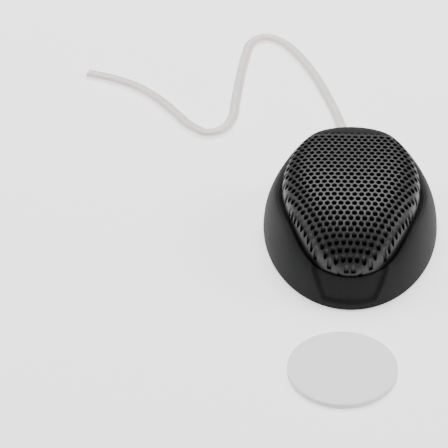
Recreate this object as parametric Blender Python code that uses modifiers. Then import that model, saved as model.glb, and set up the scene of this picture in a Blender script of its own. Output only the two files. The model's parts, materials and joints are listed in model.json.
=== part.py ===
"""Surface-mount car tweeter: egg-shaped housing, moulded grille, moving-coil driver,
series capacitor, twin lead and a loose adhesive mounting pad.

Frame: metres, +Z up. The origin is on the underside of the base plate, at the widest
line of the housing. The low nose (chin) points to -Y, the lead leaves towards +Y.
"""
import math

import bmesh
import bpy
from mathutils import Matrix, Vector

MM = 0.001
GAP = 0.3 * MM                      # rest clearance between neighbouring pieces

# ---- housing outline on the surface it stands on ----
BASE_HALF_WIDTH = 26.0 * MM
BASE_FRONT = 41.0 * MM              # widest line to nose
BASE_BACK = 24.0 * MM               # widest line to back
BASE_POWER = 2.0                    # 2 = elliptical nose
WALL = 1.8 * MM
BOTTOM_BEVEL = 0.5 * MM

# ---- grille edge, as seen from above ----
EDGE_CENTRE_Y = -6.5 * MM           # widest line of the grille
EDGE_HALF_WIDTH = 20.1 * MM
EDGE_FRONT = 31.2 * MM
EDGE_BACK = 22.0 * MM
EDGE_POWER = 1.6                    # fuller nose than an ellipse
EDGE_CUT_Y = 12.3 * MM              # straight back edge
EDGE_CORNER = 0.7 * MM              # softness of its two corners

# ---- heights of the grille edge round the housing ----
EDGE_Z_NOSE = 9.6 * MM
EDGE_Z_SIDE = 15.0 * MM
EDGE_Z_BACK = 24.1 * MM
RISE_FROM_Y = -35.0 * MM            # nose level ends here
RISE_TO_Y = -19.0 * MM              # side level starts here
CLIMB_FROM_Y = -8.0 * MM            # side level ends, climbs to the back edge
CLIMB_POWER = 1.8
CREST_RISE = 0.8 * MM               # ridge stands this far above the grille edge
CREST_OUT = 1.7 * MM                # grille edge to the outer foot of the ridge
GROOVE = 0.35 * MM                  # dark gap between grille and ridge
FADE_FROM_Y = -10.0 * MM            # the ridge sinks and narrows from here to the back corners
CREST_RISE_BACK = 0.3 * MM
CREST_OUT_BACK = 0.45 * MM
GROOVE_BACK = GAP
REBATE_DEPTH = 0.8 * MM             # ledge below the grille edge
LEDGE_IN = 0.5 * MM                 # grille edge to the mouth of the opening
LEDGE_THICK = 1.4 * MM
CREST_BEVEL = 0.3 * MM
CRESCENT_RISE = 0.2 * MM            # the land behind the grille stands higher in its middle
CRESCENT_DROP = 0.3 * MM            # and falls away to the back
CREST_STEPS = 4
CREST_INNER_DROP = 0.7 * MM         # the ridge slopes down towards the groove
SKIRT_POWER_FRONT = 1.35            # section of the skirt: 1 straight, 2 quarter ellipse
SKIRT_POWER_BACK = 1.8

# ---- grille dome ----
DOME_TOP = 25.15 * MM
DOME_FLAT_Y = 3.0 * MM              # highest line of the dome
DOME_POWER = 2.5                    # fall towards the nose
DOME_BACK_DROP = 0.5 * MM
DOME_SIDE_POWER = 3.05              # squareness across, at the front
DOME_BACK_POWER = 4.6               # squareness across, at the back
SQUARE_FROM_Y = -24.0 * MM          # the front squareness ends here
SQUARE_TO_Y = 8.0 * MM              # the back squareness starts here
GRILLE_WALL = 1.4 * MM
GRILLE_FOOT = 0.5 * MM              # grille edge to the underside of its foot
SPIGOT_IN = 0.8 * MM
SPIGOT_DEPTH = 1.8 * MM

# ---- chin recess in the nose of the housing ----
CHIN_TOP_HALF = 10.3 * MM
CHIN_BOTTOM_HALF = 8.0 * MM
CHIN_BOTTOM_Z = 2.7 * MM
CHIN_DEPTH = 0.9 * MM
CHIN_LAND = 0.2 * MM                # chin face in front of the grille edge

# ---- base plate and its fixings ----
PLATE_THICK = 1.8 * MM
PLATE_GAP = 0.35 * MM               # plate to housing wall, all round
BOSS_RADIUS = 2.6 * MM
BOSS_TOP = 9.5 * MM
FRONT_BOSS_INSET = 4.7 * MM         # from the nose of the grille edge
BACK_BOSS_INSET = 5.0 * MM          # from the base outline
BACK_BOSS_TURNS = {"left": -132.0, "right": 132.0}
RIB_THICK = 1.6 * MM
RIB_DROP = 3.0 * MM                 # boss top to rib top
RIB_BITE = 1.1 * MM                 # how far a rib runs into the housing wall
SCREW_SHANK = 1.0 * MM
SCREW_HEAD = 1.9 * MM
SCREW_HEAD_THICK = 1.1 * MM
SCREW_LENGTH = 6.5 * MM
SCREW_HOLE = SCREW_SHANK + GAP

# ---- driver, on a vertical axis ----
DRIVER_Y = EDGE_CENTRE_Y
CHASSIS_RADIUS = 18.6 * MM
CHASSIS_THICK = 1.5 * MM
CHASSIS_RIM = 0.6 * MM
CHASSIS_RIM_DEPTH = 1.4 * MM
POST_RADIUS = 1.6 * MM
POST_PITCH_RADIUS = CHASSIS_RADIUS - CHASSIS_RIM - POST_RADIUS - GAP
POST_ANGLES = {"front": -90.0, "left": 150.0, "right": 30.0}
SMALL_SHANK = 0.65 * MM
SMALL_HEAD = 1.4 * MM
SMALL_HEAD_THICK = 0.8 * MM
SMALL_LENGTH = 5.0 * MM
MAGNET_RADIUS = POST_PITCH_RADIUS - POST_RADIUS - 0.5 * MM
YOKE_RADIUS = MAGNET_RADIUS - 0.4 * MM
TOP_PLATE_RADIUS = MAGNET_RADIUS - 0.2 * MM
SURROUND_OUT = POST_PITCH_RADIUS - SMALL_HEAD - 0.4 * MM
DOME_RADIUS = SURROUND_OUT - 3.3 * MM
CHASSIS_BORE = DOME_RADIUS + 1.2 * MM
YOKE_THICK = 2.0 * MM
POLE_RADIUS = 6.3 * MM
MAGNET_BORE = 9.2 * MM
MAGNET_THICK = 4.4 * MM
TOP_PLATE_BORE = 7.95 * MM
TOP_PLATE_THICK = 2.0 * MM
FORMER_RADIUS = 6.75 * MM
FORMER_WALL = 0.25 * MM
FORMER_HEIGHT = 6.2 * MM
WINDING_WALL = 0.45 * MM
WINDING_GAP = 0.15 * MM
WINDING_HEIGHT = 3.2 * MM
DIAPHRAGM_WALL = 0.3 * MM
CAP_RISE = 2.2 * MM
CONE_RISE = 1.0 * MM
SURROUND_WALL = 0.3 * MM
SURROUND_ROLL = 0.9 * MM
CLAMP_THICK = 1.0 * MM
FELT_RADIUS = 5.4 * MM
FELT_THICK = 0.8 * MM

# ---- terminals, capacitor, wires ----
BOARD_WIDTH = 12.0 * MM
BOARD_DEPTH = 5.4 * MM
BOARD_THICK = 1.2 * MM
BOARD_START = DRIVER_Y + CHASSIS_RADIUS - 3.0 * MM    # front edge; 3 mm lies on the chassis
TAG_PLACE = 3.5 * MM
TAG_WIDTH = 2.2 * MM
TAG_LENGTH = 5.6 * MM
TAG_THICK = 0.4 * MM
CAPACITOR_RADIUS = 3.5 * MM
CAPACITOR_LENGTH = 12.0 * MM
CAPACITOR_Y = 13.6 * MM
CRADLE_THICK = 1.0 * MM
CRADLE_RISE = 0.7 * MM
WIRE_RADIUS = 0.3 * MM
COIL_WIRE_RADIUS = 0.18 * MM
CORE_RADIUS = 0.7 * MM              # one insulated core of the twin lead
SLEEVE_RADIUS = 1.15 * MM
SLEEVE_LENGTH = 4.4 * MM
CORE_START = 0.6 * MM               # the cores bend away this far from the end of the lead

# ---- twin lead and its grommet ----
LEAD_THICK = 1.7 * MM
LEAD_WIDTH = 3.4 * MM
LEAD_EXIT_Z = 3.2 * MM
GROMMET_HALF = 3.0 * MM
GROMMET_LIP = 0.9 * MM
GROMMET_LIP_THICK = 1.0 * MM
GROMMET_TOP = 4.9 * MM
GROMMET_INNER_Y = BASE_BACK - WALL - 0.9 * MM     # inner lip stands off the leaning wall
LEAD_START_Y = GROMMET_INNER_Y - GROMMET_LIP_THICK - 0.4 * MM

# ---- adhesive mounting pad, lying in front of the nose ----
PAD_RADIUS = 15.1 * MM
PAD_PLACE = (-1.6 * MM, -67.0 * MM)
FOAM_THICK = 0.8 * MM
LINER_THICK = 0.2 * MM
LINER_GAP = 0.15 * MM

# ---- mesh density ----
STATIONS = 64
DOME_RINGS = 8
SKIRT_STEPS = 7
TURN_STEPS = 28
CAP_STEPS = 5
CONE_STEPS = 3
ROLL_STEPS = 5
FULL_TURN = 2.0 * math.pi

FINISHES = {
    "housing_plastic": ((0.030, 0.031, 0.033), 0.50, 0.0),
    "grille_plastic": ((0.022, 0.023, 0.025), 0.42, 0.0),
    "base_plastic": ((0.020, 0.020, 0.021), 0.60, 0.0),
    "chassis_plastic": ((0.025, 0.025, 0.027), 0.55, 0.0),
    "zinc_steel": ((0.62, 0.62, 0.60), 0.30, 1.0),
    "plated_steel": ((0.55, 0.54, 0.50), 0.38, 1.0),
    "ferrite": ((0.045, 0.043, 0.042), 0.70, 0.0),
    "film": ((0.10, 0.10, 0.11), 0.30, 0.0),
    "soft_rubber": ((0.018, 0.018, 0.018), 0.75, 0.0),
    "copper": ((0.72, 0.33, 0.18), 0.30, 1.0),
    "felt": ((0.16, 0.15, 0.14), 0.95, 0.0),
    "board": ((0.33, 0.17, 0.06), 0.60, 0.0),
    "brass": ((0.78, 0.60, 0.30), 0.32, 1.0),
    "capacitor_sleeve": ((0.02, 0.05, 0.16), 0.35, 0.0),
    "lead_insulation": ((0.86, 0.80, 0.77), 0.35, 0.0),
    "foam": ((0.80, 0.80, 0.80), 0.85, 0.0),
    "liner": ((0.86, 0.86, 0.86), 0.55, 0.0),
}

parts = None
cutters = None


# ---------------------------------------------------------------- scene helpers
def clear_scene():
    """Remove every object, so that the script can be run again."""
    for thing in list(bpy.data.objects):
        bpy.data.objects.remove(thing, do_unlink=True)


def make_collection(name):
    collection = bpy.data.collections.new(name)
    bpy.context.scene.collection.children.link(collection)
    return collection


def finish(name):
    """The material of that name, made on its first use."""
    material = bpy.data.materials.get(name)
    if material is None:
        colour, roughness, metallic = FINISHES[name]
        material = bpy.data.materials.new(name)
        material.use_nodes = True
        shader = material.node_tree.nodes["Principled BSDF"]
        shader.inputs["Base Color"].default_value = (*colour, 1.0)
        shader.inputs["Roughness"].default_value = roughness
        shader.inputs["Metallic"].default_value = metallic
        material.diffuse_color = (*colour, 1.0)
    return material


def add_object(name, data, finish_name, place=(0.0, 0.0, 0.0)):
    """Link an object to the parts, or to the cutters when it has no finish."""
    thing = bpy.data.objects.new(name, data)
    thing.location = place
    if finish_name is None:
        cutters.objects.link(thing)
        thing.hide_render = True
        thing.display_type = "WIRE"
    else:
        parts.objects.link(thing)
        data.materials.append(finish(finish_name))
    return thing


def mesh_from(bm, name, smooth_angle=35.0):
    """Turn a bmesh into a mesh with outward faces and round sides shaded smooth."""
    bmesh.ops.recalc_face_normals(bm, faces=bm.faces)
    mesh = bpy.data.meshes.new(name)
    bm.to_mesh(mesh)
    bm.free()
    mesh.shade_smooth()
    mesh.set_sharp_from_angle(angle=math.radians(smooth_angle))
    return mesh


def boolean(thing, tool, operation):
    modifier = thing.modifiers.new(f"{operation.lower()}_{tool.name}", "BOOLEAN")
    modifier.operation = operation
    modifier.object = tool
    modifier.solver = "EXACT"


# ---------------------------------------------------------------- shape helpers
def box(name, finish_name, low, high):
    """A box between two corners."""
    bm = bmesh.new()
    bmesh.ops.create_cube(bm, size=1.0)
    middle = (Vector(low) + Vector(high)) / 2.0
    size = Vector(high) - Vector(low)
    bmesh.ops.transform(bm, matrix=Matrix.Diagonal((*size, 1.0)), verts=bm.verts)
    return add_object(name, mesh_from(bm, name), finish_name, middle)


def rod(name, finish_name, radius, bottom, top, place, segments=24, axis="Z"):
    """A cylinder between two heights, or along X between two places."""
    bm = bmesh.new()
    bmesh.ops.create_cone(bm, cap_ends=True, segments=segments, radius1=radius, radius2=radius,
                          depth=top - bottom)
    middle = (bottom + top) / 2.0
    if axis == "X":
        bmesh.ops.rotate(bm, verts=bm.verts, matrix=Matrix.Rotation(math.pi / 2.0, 3, "Y"))
        centre = (middle, place[0], place[1])
    else:
        centre = (place[0], place[1], middle)
    return add_object(name, mesh_from(bm, name), finish_name, centre)


def turned(name, finish_name, profile, place, closed=True):
    """A solid of revolution about Z; its profile runs down the outer side."""
    mesh = bpy.data.meshes.new(name)
    count = len(profile)
    edges = [(i, (i + 1) % count) for i in range(count if closed else count - 1)]
    mesh.from_pydata([(radius, 0.0, height) for radius, height in profile], edges, [])
    thing = add_object(name, mesh, finish_name, (place[0], place[1], 0.0))
    screw = thing.modifiers.new("turn", "SCREW")
    screw.angle = FULL_TURN
    screw.steps = TURN_STEPS
    screw.render_steps = TURN_STEPS
    screw.use_merge_vertices = True
    screw.merge_threshold = 0.00001
    screw.use_smooth_shade = True
    return thing


def ring(name, finish_name, outer, inner, bottom, top, place):
    """A flat ring with a square section."""
    profile = [(outer, top), (outer, bottom), (inner, bottom), (inner, top)]
    return turned(name, finish_name, profile, place)


def disc(name, finish_name, radius, bottom, top, place):
    """A plain round disc."""
    profile = [(0.0, top), (radius, top), (radius, bottom), (0.0, bottom)]
    return turned(name, finish_name, profile, place, closed=False)


def smooth_route(knots, spacing):
    """Points a given distance apart on a smooth curve through the knots."""
    points = [Vector(knot) for knot in knots]
    padded = [2 * points[0] - points[1], *points, 2 * points[-1] - points[-2]]
    fine = []
    for a, b, c, d in zip(padded, padded[1:], padded[2:], padded[3:]):
        for step in range(24):
            t = step / 24.0
            fine.append(0.5 * (2 * b + (c - a) * t + (2 * a - 5 * b + 4 * c - d) * t ** 2
                               + (3 * b - a - 3 * c + d) * t ** 3))
    fine.append(points[-1])
    lengths = [0.0]
    for before, after in zip(fine, fine[1:]):
        lengths.append(lengths[-1] + (after - before).length)
    count = max(2, round(lengths[-1] / spacing))
    route, index = [], 0
    for step in range(count + 1):
        target = lengths[-1] * step / count
        while index < len(fine) - 2 and lengths[index + 1] < target:
            index += 1
        span = max(lengths[index + 1] - lengths[index], 1e-12)
        route.append(fine[index].lerp(fine[index + 1], min(1.0, (target - lengths[index]) / span)))
    return route


def tube(name, finish_name, knots, radius, spacing):
    """A round wire along a smooth curve through the knots."""
    route = smooth_route(knots, spacing)
    curve = bpy.data.curves.new(name, "CURVE")
    curve.dimensions = "3D"
    curve.bevel_depth = radius
    curve.bevel_resolution = 2
    curve.use_fill_caps = True
    spline = curve.splines.new("POLY")
    spline.points.add(len(route) - 1)
    for point, place in zip(spline.points, route):
        point.co = (*place, 1.0)
    return add_object(name, curve, finish_name)


def loft(rings, wrap_rings=False):
    """Join equal closed rings of points by quads; open ends get a flat cap."""
    bm = bmesh.new()
    grid = [[bm.verts.new(point) for point in points] for points in rings]
    size = len(grid[0])
    pairs = list(zip(grid, grid[1:] + grid[:1])) if wrap_rings else list(zip(grid, grid[1:]))
    for first, second in pairs:
        for i in range(size):
            j = (i + 1) % size
            bm.faces.new((first[i], first[j], second[j], second[i]))
    if not wrap_rings:
        for points in (grid[0], grid[-1]):
            bm.faces.new(points)
    return bm


# ---------------------------------------------------------------- outlines and heights
def egg(turn, grow, half_width, front, back, centre_y, power, cut_y=None):
    """A point of an egg outline: turn 0 is the nose, pi is the back."""
    x = (half_width + grow) * math.sin(turn)
    c = math.cos(turn)
    if c >= 0.0:
        y = centre_y - (front + grow) * c ** (2.0 / power)
    else:
        y = centre_y - (back + grow) * c
    if cut_y is not None:
        excess = (y - cut_y - grow) / EDGE_CORNER
        y -= EDGE_CORNER * (math.log1p(math.exp(-abs(excess))) + max(0.0, excess))
    return x, y


def base_outline(turn, grow=0.0):
    return egg(turn, grow, BASE_HALF_WIDTH, BASE_FRONT, BASE_BACK, 0.0, BASE_POWER)


def edge_outline(turn, grow=0.0):
    return egg(turn, grow, EDGE_HALF_WIDTH, EDGE_FRONT, EDGE_BACK, EDGE_CENTRE_Y, EDGE_POWER, EDGE_CUT_Y)


def crest_outline(turn, grow=0.0):
    """Outer foot of the ridge: as the grille outline, but round behind the straight edge."""
    return egg(turn, grow, EDGE_HALF_WIDTH, EDGE_FRONT, EDGE_BACK, EDGE_CENTRE_Y, EDGE_POWER)


def smoothstep(value):
    t = min(1.0, max(0.0, value))
    return t * t * (3.0 - 2.0 * t)


def edge_height(y):
    """Height of the grille edge: low round the nose, level at the sides, high at the back."""
    z = EDGE_Z_NOSE + (EDGE_Z_SIDE - EDGE_Z_NOSE) * smoothstep((y - RISE_FROM_Y) / (RISE_TO_Y - RISE_FROM_Y))
    climb = (y - CLIMB_FROM_Y) / (EDGE_CUT_Y - CLIMB_FROM_Y)
    if climb > 0.0:
        z += (EDGE_Z_BACK - EDGE_Z_SIDE) * min(1.0, climb) ** CLIMB_POWER
    return z


def edge_half_width(y, grow=0.0):
    """Half the width of the grille outline at y."""
    if y < EDGE_CENTRE_Y:
        share = min(1.0, (EDGE_CENTRE_Y - y) / (EDGE_FRONT + grow)) ** EDGE_POWER
    else:
        share = min(1.0, (y - EDGE_CENTRE_Y) / (EDGE_BACK + grow)) ** 2.0
    return (EDGE_HALF_WIDTH + grow) * math.sqrt(1.0 - share)


def dome_height(x, y, inset=0.0):
    """Height of the grille dome above a place inside its edge."""
    nose_y = EDGE_CENTRE_Y - EDGE_FRONT + inset
    if y < DOME_FLAT_Y:
        fall = min(1.0, (DOME_FLAT_Y - y) / (DOME_FLAT_Y - nose_y))
        crown = EDGE_Z_NOSE + (DOME_TOP - inset - EDGE_Z_NOSE) * math.sqrt(1.0 - fall ** DOME_POWER)
    else:
        crown = DOME_TOP - inset - DOME_BACK_DROP * ((y - DOME_FLAT_Y) / (EDGE_CUT_Y - DOME_FLAT_Y)) ** 4
    half = edge_half_width(y, -inset)
    if half < 1e-6:
        return min(crown, edge_height(y))
    power = DOME_SIDE_POWER + (DOME_BACK_POWER - DOME_SIDE_POWER) * smoothstep(
        (y - SQUARE_FROM_Y) / (SQUARE_TO_Y - SQUARE_FROM_Y))
    across = min(1.0, abs(x) / half) ** power
    return crown - (crown - edge_height(y)) * (1.0 - (1.0 - across) ** (1.0 / power))


def station_turns():
    return [FULL_TURN * i / STATIONS for i in range(STATIONS)]


def skirt_power(turn):
    return SKIRT_POWER_FRONT + (SKIRT_POWER_BACK - SKIRT_POWER_FRONT) * (1.0 - math.cos(turn)) / 2.0


def mix(start, end, share):
    """A place between two places: share 0 is the first, 1 the second."""
    return tuple(a + (b - a) * share for a, b in zip(start, end))


def skirt_share(turn, up):
    """How far the wall has leaned in at a share of its height."""
    power = skirt_power(turn)
    return 1.0 - (1.0 - min(1.0, up) ** power) ** (1.0 / power)


def inner_wall(turn, height, outward=0.0):
    """A place on the inside of the housing wall; outward runs into the wall."""
    top = edge_height(edge_outline(turn)[1]) - REBATE_DEPTH - LEDGE_THICK
    return mix(base_outline(turn, outward - WALL), edge_outline(turn, outward - LEDGE_IN),
               skirt_share(turn, height / top))


def skirt_wall(turn, foot_place, top_place, top, first=0.0):
    """Points up one wall of the skirt, bulging outwards as a superellipse."""
    power = skirt_power(turn)
    points = []
    for step in range(SKIRT_STEPS + 1):
        angle = math.pi / 2.0 * step / SKIRT_STEPS
        share = 1.0 - max(0.0, math.cos(angle)) ** (2.0 / power)
        height = first + (top - first) * math.sin(angle) ** (2.0 / power)
        points.append((*mix(foot_place, top_place, share), height))
    return points


# ---------------------------------------------------------------- casing pieces
def housing_section(turn):
    """The closed section of the housing wall at one station, from its foot outside."""
    edge_y = edge_outline(turn)[1]
    edge_z = edge_height(edge_y)
    fade = smoothstep((edge_y - FADE_FROM_Y) / (EDGE_CUT_Y - FADE_FROM_Y))
    groove_width = GROOVE + (GROOVE_BACK - GROOVE) * fade
    crest_out = CREST_OUT + (CREST_OUT_BACK - CREST_OUT) * fade
    groove = edge_outline(turn, groove_width)
    foot = crest_outline(turn, crest_out)
    land = math.dist(groove, foot) - (crest_out - groove_width)
    behind = land / (EDGE_CENTRE_Y + EDGE_BACK - EDGE_CUT_Y)
    crest = edge_z + CREST_RISE + (CREST_RISE_BACK - CREST_RISE) * fade + CRESCENT_RISE * behind
    ledge = edge_z - REBATE_DEPTH
    foot_z = crest - CREST_BEVEL - CRESCENT_DROP * behind
    section = [(*base_outline(turn, -BOTTOM_BEVEL), 0.0)]
    section += skirt_wall(turn, base_outline(turn), foot, foot_z, BOTTOM_BEVEL)
    for step in range(1, CREST_STEPS + 1):
        share = step / CREST_STEPS
        slope = CREST_INNER_DROP * (1.0 - fade) * smoothstep((share - 0.25) / 0.75)
        section.append((*mix(foot, groove, share), crest - (crest - foot_z) * (1.0 - share) ** 2 - slope))
    section.append((*groove, ledge))
    section.append((*edge_outline(turn, -LEDGE_IN), ledge))
    inner = skirt_wall(turn, base_outline(turn, -WALL), edge_outline(turn, -LEDGE_IN), ledge - LEDGE_THICK)
    return section + inner[::-1]


def chin_place(x, z):
    """The y of the recessed chin face at a place on the nose."""
    share = skirt_share(0.0, z / (EDGE_Z_NOSE + CREST_RISE))
    half = (BASE_HALF_WIDTH - CHIN_DEPTH) * (1.0 - share) + (EDGE_HALF_WIDTH + CHIN_LAND) * share
    turn = math.asin(x / half)
    return mix(base_outline(turn, -CHIN_DEPTH), edge_outline(turn, CHIN_LAND), share)[1]


def chin_cutter():
    """A block whose back face is the chin face; its sides lean in towards the bottom."""
    across, up = 12, 6
    top_z = EDGE_Z_NOSE + 3.0 * MM
    outside_y = -(BASE_FRONT + 6.0 * MM)
    rings = []
    for level in range(up + 1):
        z = CHIN_BOTTOM_Z + (top_z - CHIN_BOTTOM_Z) * level / up
        lean = min(1.0, (z - CHIN_BOTTOM_Z) / (EDGE_Z_NOSE - CHIN_BOTTOM_Z))
        half = CHIN_BOTTOM_HALF + (CHIN_TOP_HALF - CHIN_BOTTOM_HALF) * lean
        row = [half * (2.0 * i / across - 1.0) for i in range(across + 1)]
        back = [(x, chin_place(x, z), z) for x in row]
        front = [(x, outside_y, z) for x in reversed(row)]
        rings.append(back + front)
    return add_object("chin_cutter", mesh_from(loft(rings), "chin_cutter"), None)


def boss_places():
    """The screw bosses: one inside the nose of the opening, two at the back."""
    places = {"front": edge_outline(0.0, -FRONT_BOSS_INSET)}
    for name, turn in BACK_BOSS_TURNS.items():
        places[name] = base_outline(math.radians(turn), -BACK_BOSS_INSET)
    return places


def wall_beside(name):
    """Where the rib of a boss ends, inside the housing wall."""
    turn = math.radians(BACK_BOSS_TURNS.get(name, 0.0))
    return inner_wall(turn, BOSS_TOP - RIB_DROP, RIB_BITE)


def rib_between(name, start, end, low, high):
    """An upright rib from one place to another."""
    along = Vector(end) - Vector(start)
    bm = bmesh.new()
    bmesh.ops.create_cube(bm, size=1.0)
    bmesh.ops.transform(bm, matrix=Matrix.Diagonal((along.length, RIB_THICK, high - low, 1.0)), verts=bm.verts)
    bmesh.ops.rotate(bm, verts=bm.verts, matrix=Matrix.Rotation(math.atan2(along.y, along.x), 3, "Z"))
    middle = (Vector(start) + Vector(end)) / 2.0
    return add_object(name, mesh_from(bm, name), None, (middle.x, middle.y, (low + high) / 2.0))


def lead_notch():
    """The slot in the back wall that the grommet sits in."""
    half = GROMMET_HALF + GAP
    low = (-half, BASE_BACK - 2.5 * WALL, -1.0 * MM)
    high = (half, BASE_BACK + 2.0 * MM, GROMMET_TOP + GAP)
    return box("lead_notch", None, low, high)


def build_housing():
    """Housing shell: a ring-shaped wall with chin recess, lead notch and screw bosses."""
    sections = [housing_section(turn) for turn in station_turns()]
    housing = add_object("housing_shell", mesh_from(loft(sections, wrap_rings=True), "housing_shell"),
                         "housing_plastic")
    boolean(housing, chin_cutter(), "DIFFERENCE")
    boolean(housing, lead_notch(), "DIFFERENCE")
    foot = PLATE_THICK + GAP
    for name, place in boss_places().items():
        boolean(housing, rod(f"boss_{name}", None, BOSS_RADIUS, foot, BOSS_TOP, place), "UNION")
        rib = rib_between(f"rib_{name}", place, wall_beside(name), foot + 0.2 * MM, BOSS_TOP - RIB_DROP)
        boolean(housing, rib, "UNION")
        pilot = rod(f"pilot_{name}", None, SCREW_HOLE, -1.0 * MM, SCREW_LENGTH + GAP, place, 16)
        boolean(housing, pilot, "DIFFERENCE")
    return housing


def build_grille():
    """Grille: a dome with a foot on the housing ledge and a spigot inside its opening."""
    turns = station_turns()
    centre = Vector((0.0, EDGE_CENTRE_Y))

    def dome_ring(share, inset):
        points = []
        for turn in turns:
            flat = centre + (Vector(edge_outline(turn, -inset)) - centre) * share
            points.append((flat.x, flat.y, dome_height(flat.x, flat.y, inset)))
        return points

    def level_ring(inset, drop):
        points = []
        for turn in turns:
            z = edge_height(edge_outline(turn)[1]) - drop
            points.append((*edge_outline(turn, -inset), z))
        return points

    shares = [math.sin(math.pi / 2.0 * (k + 1) / DOME_RINGS) for k in range(DOME_RINGS)]
    rings = [dome_ring(share, 0.0) for share in shares]
    rings.append(level_ring(0.0, GRILLE_FOOT))
    rings.append(level_ring(SPIGOT_IN, GRILLE_FOOT))
    rings.append(level_ring(SPIGOT_IN, GRILLE_FOOT + SPIGOT_DEPTH))
    rings.append(level_ring(GRILLE_WALL, GRILLE_FOOT + SPIGOT_DEPTH))
    rings += [dome_ring(share, GRILLE_WALL) for share in reversed(shares)]
    return add_object("grille", mesh_from(loft(rings), "grille"), "grille_plastic")


def build_base_plate():
    """Base plate with posts for the driver, saddles for the capacitor and screw holes."""
    bm = bmesh.new()
    places = [inner_wall(turn, PLATE_THICK, -PLATE_GAP) for turn in station_turns()]
    outline = [bm.verts.new((*place, 0.0)) for place in places]
    lifted = bmesh.ops.extrude_face_region(bm, geom=[bm.faces.new(outline)])
    top = [item for item in lifted["geom"] if isinstance(item, bmesh.types.BMVert)]
    bmesh.ops.translate(bm, verts=top, vec=(0.0, 0.0, PLATE_THICK))
    plate = add_object("base_plate", mesh_from(bm, "base_plate"), "base_plastic")
    overlap = 0.2 * MM
    for name, (x, y) in post_places().items():
        post = rod(f"post_{name}", None, POST_RADIUS, PLATE_THICK - overlap, chassis_bottom() - GAP, (x, y))
        boolean(plate, post, "UNION")
        pilot = rod(f"post_pilot_{name}", None, SMALL_SHANK + GAP,
                    chassis_bottom() + CHASSIS_THICK - SMALL_LENGTH - GAP, chassis_bottom() + GAP, (x, y), 16)
        boolean(plate, pilot, "DIFFERENCE")
    for side in (-1.0, 1.0):
        x = side * CAPACITOR_LENGTH / 3.5
        saddle = box(f"saddle_{'left' if side < 0 else 'right'}", None,
                     (x - CRADLE_THICK, CAPACITOR_Y - 2.0 * MM, PLATE_THICK - overlap),
                     (x + CRADLE_THICK, CAPACITOR_Y + 2.0 * MM, PLATE_THICK + CRADLE_RISE - GAP))
        boolean(plate, saddle, "UNION")
    for name, place in boss_places().items():
        boolean(plate, rod(f"clear_{name}", None, SCREW_HOLE, -1.0 * MM, PLATE_THICK + 1.0 * MM, place, 16),
                "DIFFERENCE")
        sink = rod(f"sink_{name}", None, SCREW_HEAD + GAP, -1.0 * MM, SCREW_HEAD_THICK + 0.2 * MM - GAP, place)
        boolean(plate, sink, "DIFFERENCE")
    return plate


def screw_profile(head_radius, head_low, head_high, shank_radius, shank_end):
    """Half section of a pan-head screw; the head is the wider end, whichever way it points."""
    if head_high > shank_end:
        return [(0.0, head_high), (head_radius * 0.7, head_high), (head_radius, (head_low + head_high) / 2.0),
                (head_radius, head_low), (shank_radius, head_low), (shank_radius, shank_end), (0.0, shank_end)]
    return [(0.0, shank_end), (shank_radius, shank_end), (shank_radius, head_high), (head_radius, head_high),
            (head_radius, (head_low + head_high) / 2.0), (head_radius * 0.7, head_low), (0.0, head_low)]


def build_base_screws():
    """Three screws from below, through the base plate into the housing bosses."""
    for name, place in boss_places().items():
        low = 0.2 * MM
        profile = screw_profile(SCREW_HEAD, low, SCREW_HEAD_THICK - GAP, SCREW_SHANK, SCREW_LENGTH)
        turned(f"base_screw_{name}", "zinc_steel", profile, place, closed=False)


# ---------------------------------------------------------------- driver pieces
def magnet_levels():
    """Heights of the motor's layers, stacked from the base plate with a gap between each."""
    yoke = PLATE_THICK + GAP
    magnet = yoke + YOKE_THICK + GAP
    plate = magnet + MAGNET_THICK + GAP
    return yoke, magnet, plate


def chassis_bottom():
    return magnet_levels()[2] + TOP_PLATE_THICK + GAP


def chassis_top():
    return chassis_bottom() + CHASSIS_THICK


def post_places():
    places = {}
    for name, angle in POST_ANGLES.items():
        turn = math.radians(angle)
        places[name] = (POST_PITCH_RADIUS * math.cos(turn), DRIVER_Y + POST_PITCH_RADIUS * math.sin(turn))
    return places


def build_motor():
    """Yoke with pole, ring magnet, top plate and the felt on the pole."""
    axis = (0.0, DRIVER_Y)
    yoke, magnet, plate = magnet_levels()
    pole_top = plate + TOP_PLATE_THICK
    turned("yoke", "plated_steel",
           [(0.0, pole_top), (POLE_RADIUS - 0.3 * MM, pole_top), (POLE_RADIUS, pole_top - 0.3 * MM),
            (POLE_RADIUS, yoke + YOKE_THICK), (YOKE_RADIUS, yoke + YOKE_THICK),
            (YOKE_RADIUS, yoke + 0.5 * MM), (YOKE_RADIUS - 0.5 * MM, yoke), (0.0, yoke)],
           axis, closed=False)
    ring("magnet", "ferrite", MAGNET_RADIUS, MAGNET_BORE, magnet, magnet + MAGNET_THICK, axis)
    ring("top_plate", "plated_steel", TOP_PLATE_RADIUS, TOP_PLATE_BORE, plate, pole_top, axis)
    disc("damping_felt", "felt", FELT_RADIUS, pole_top + GAP, pole_top + GAP + FELT_THICK, axis)


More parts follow.
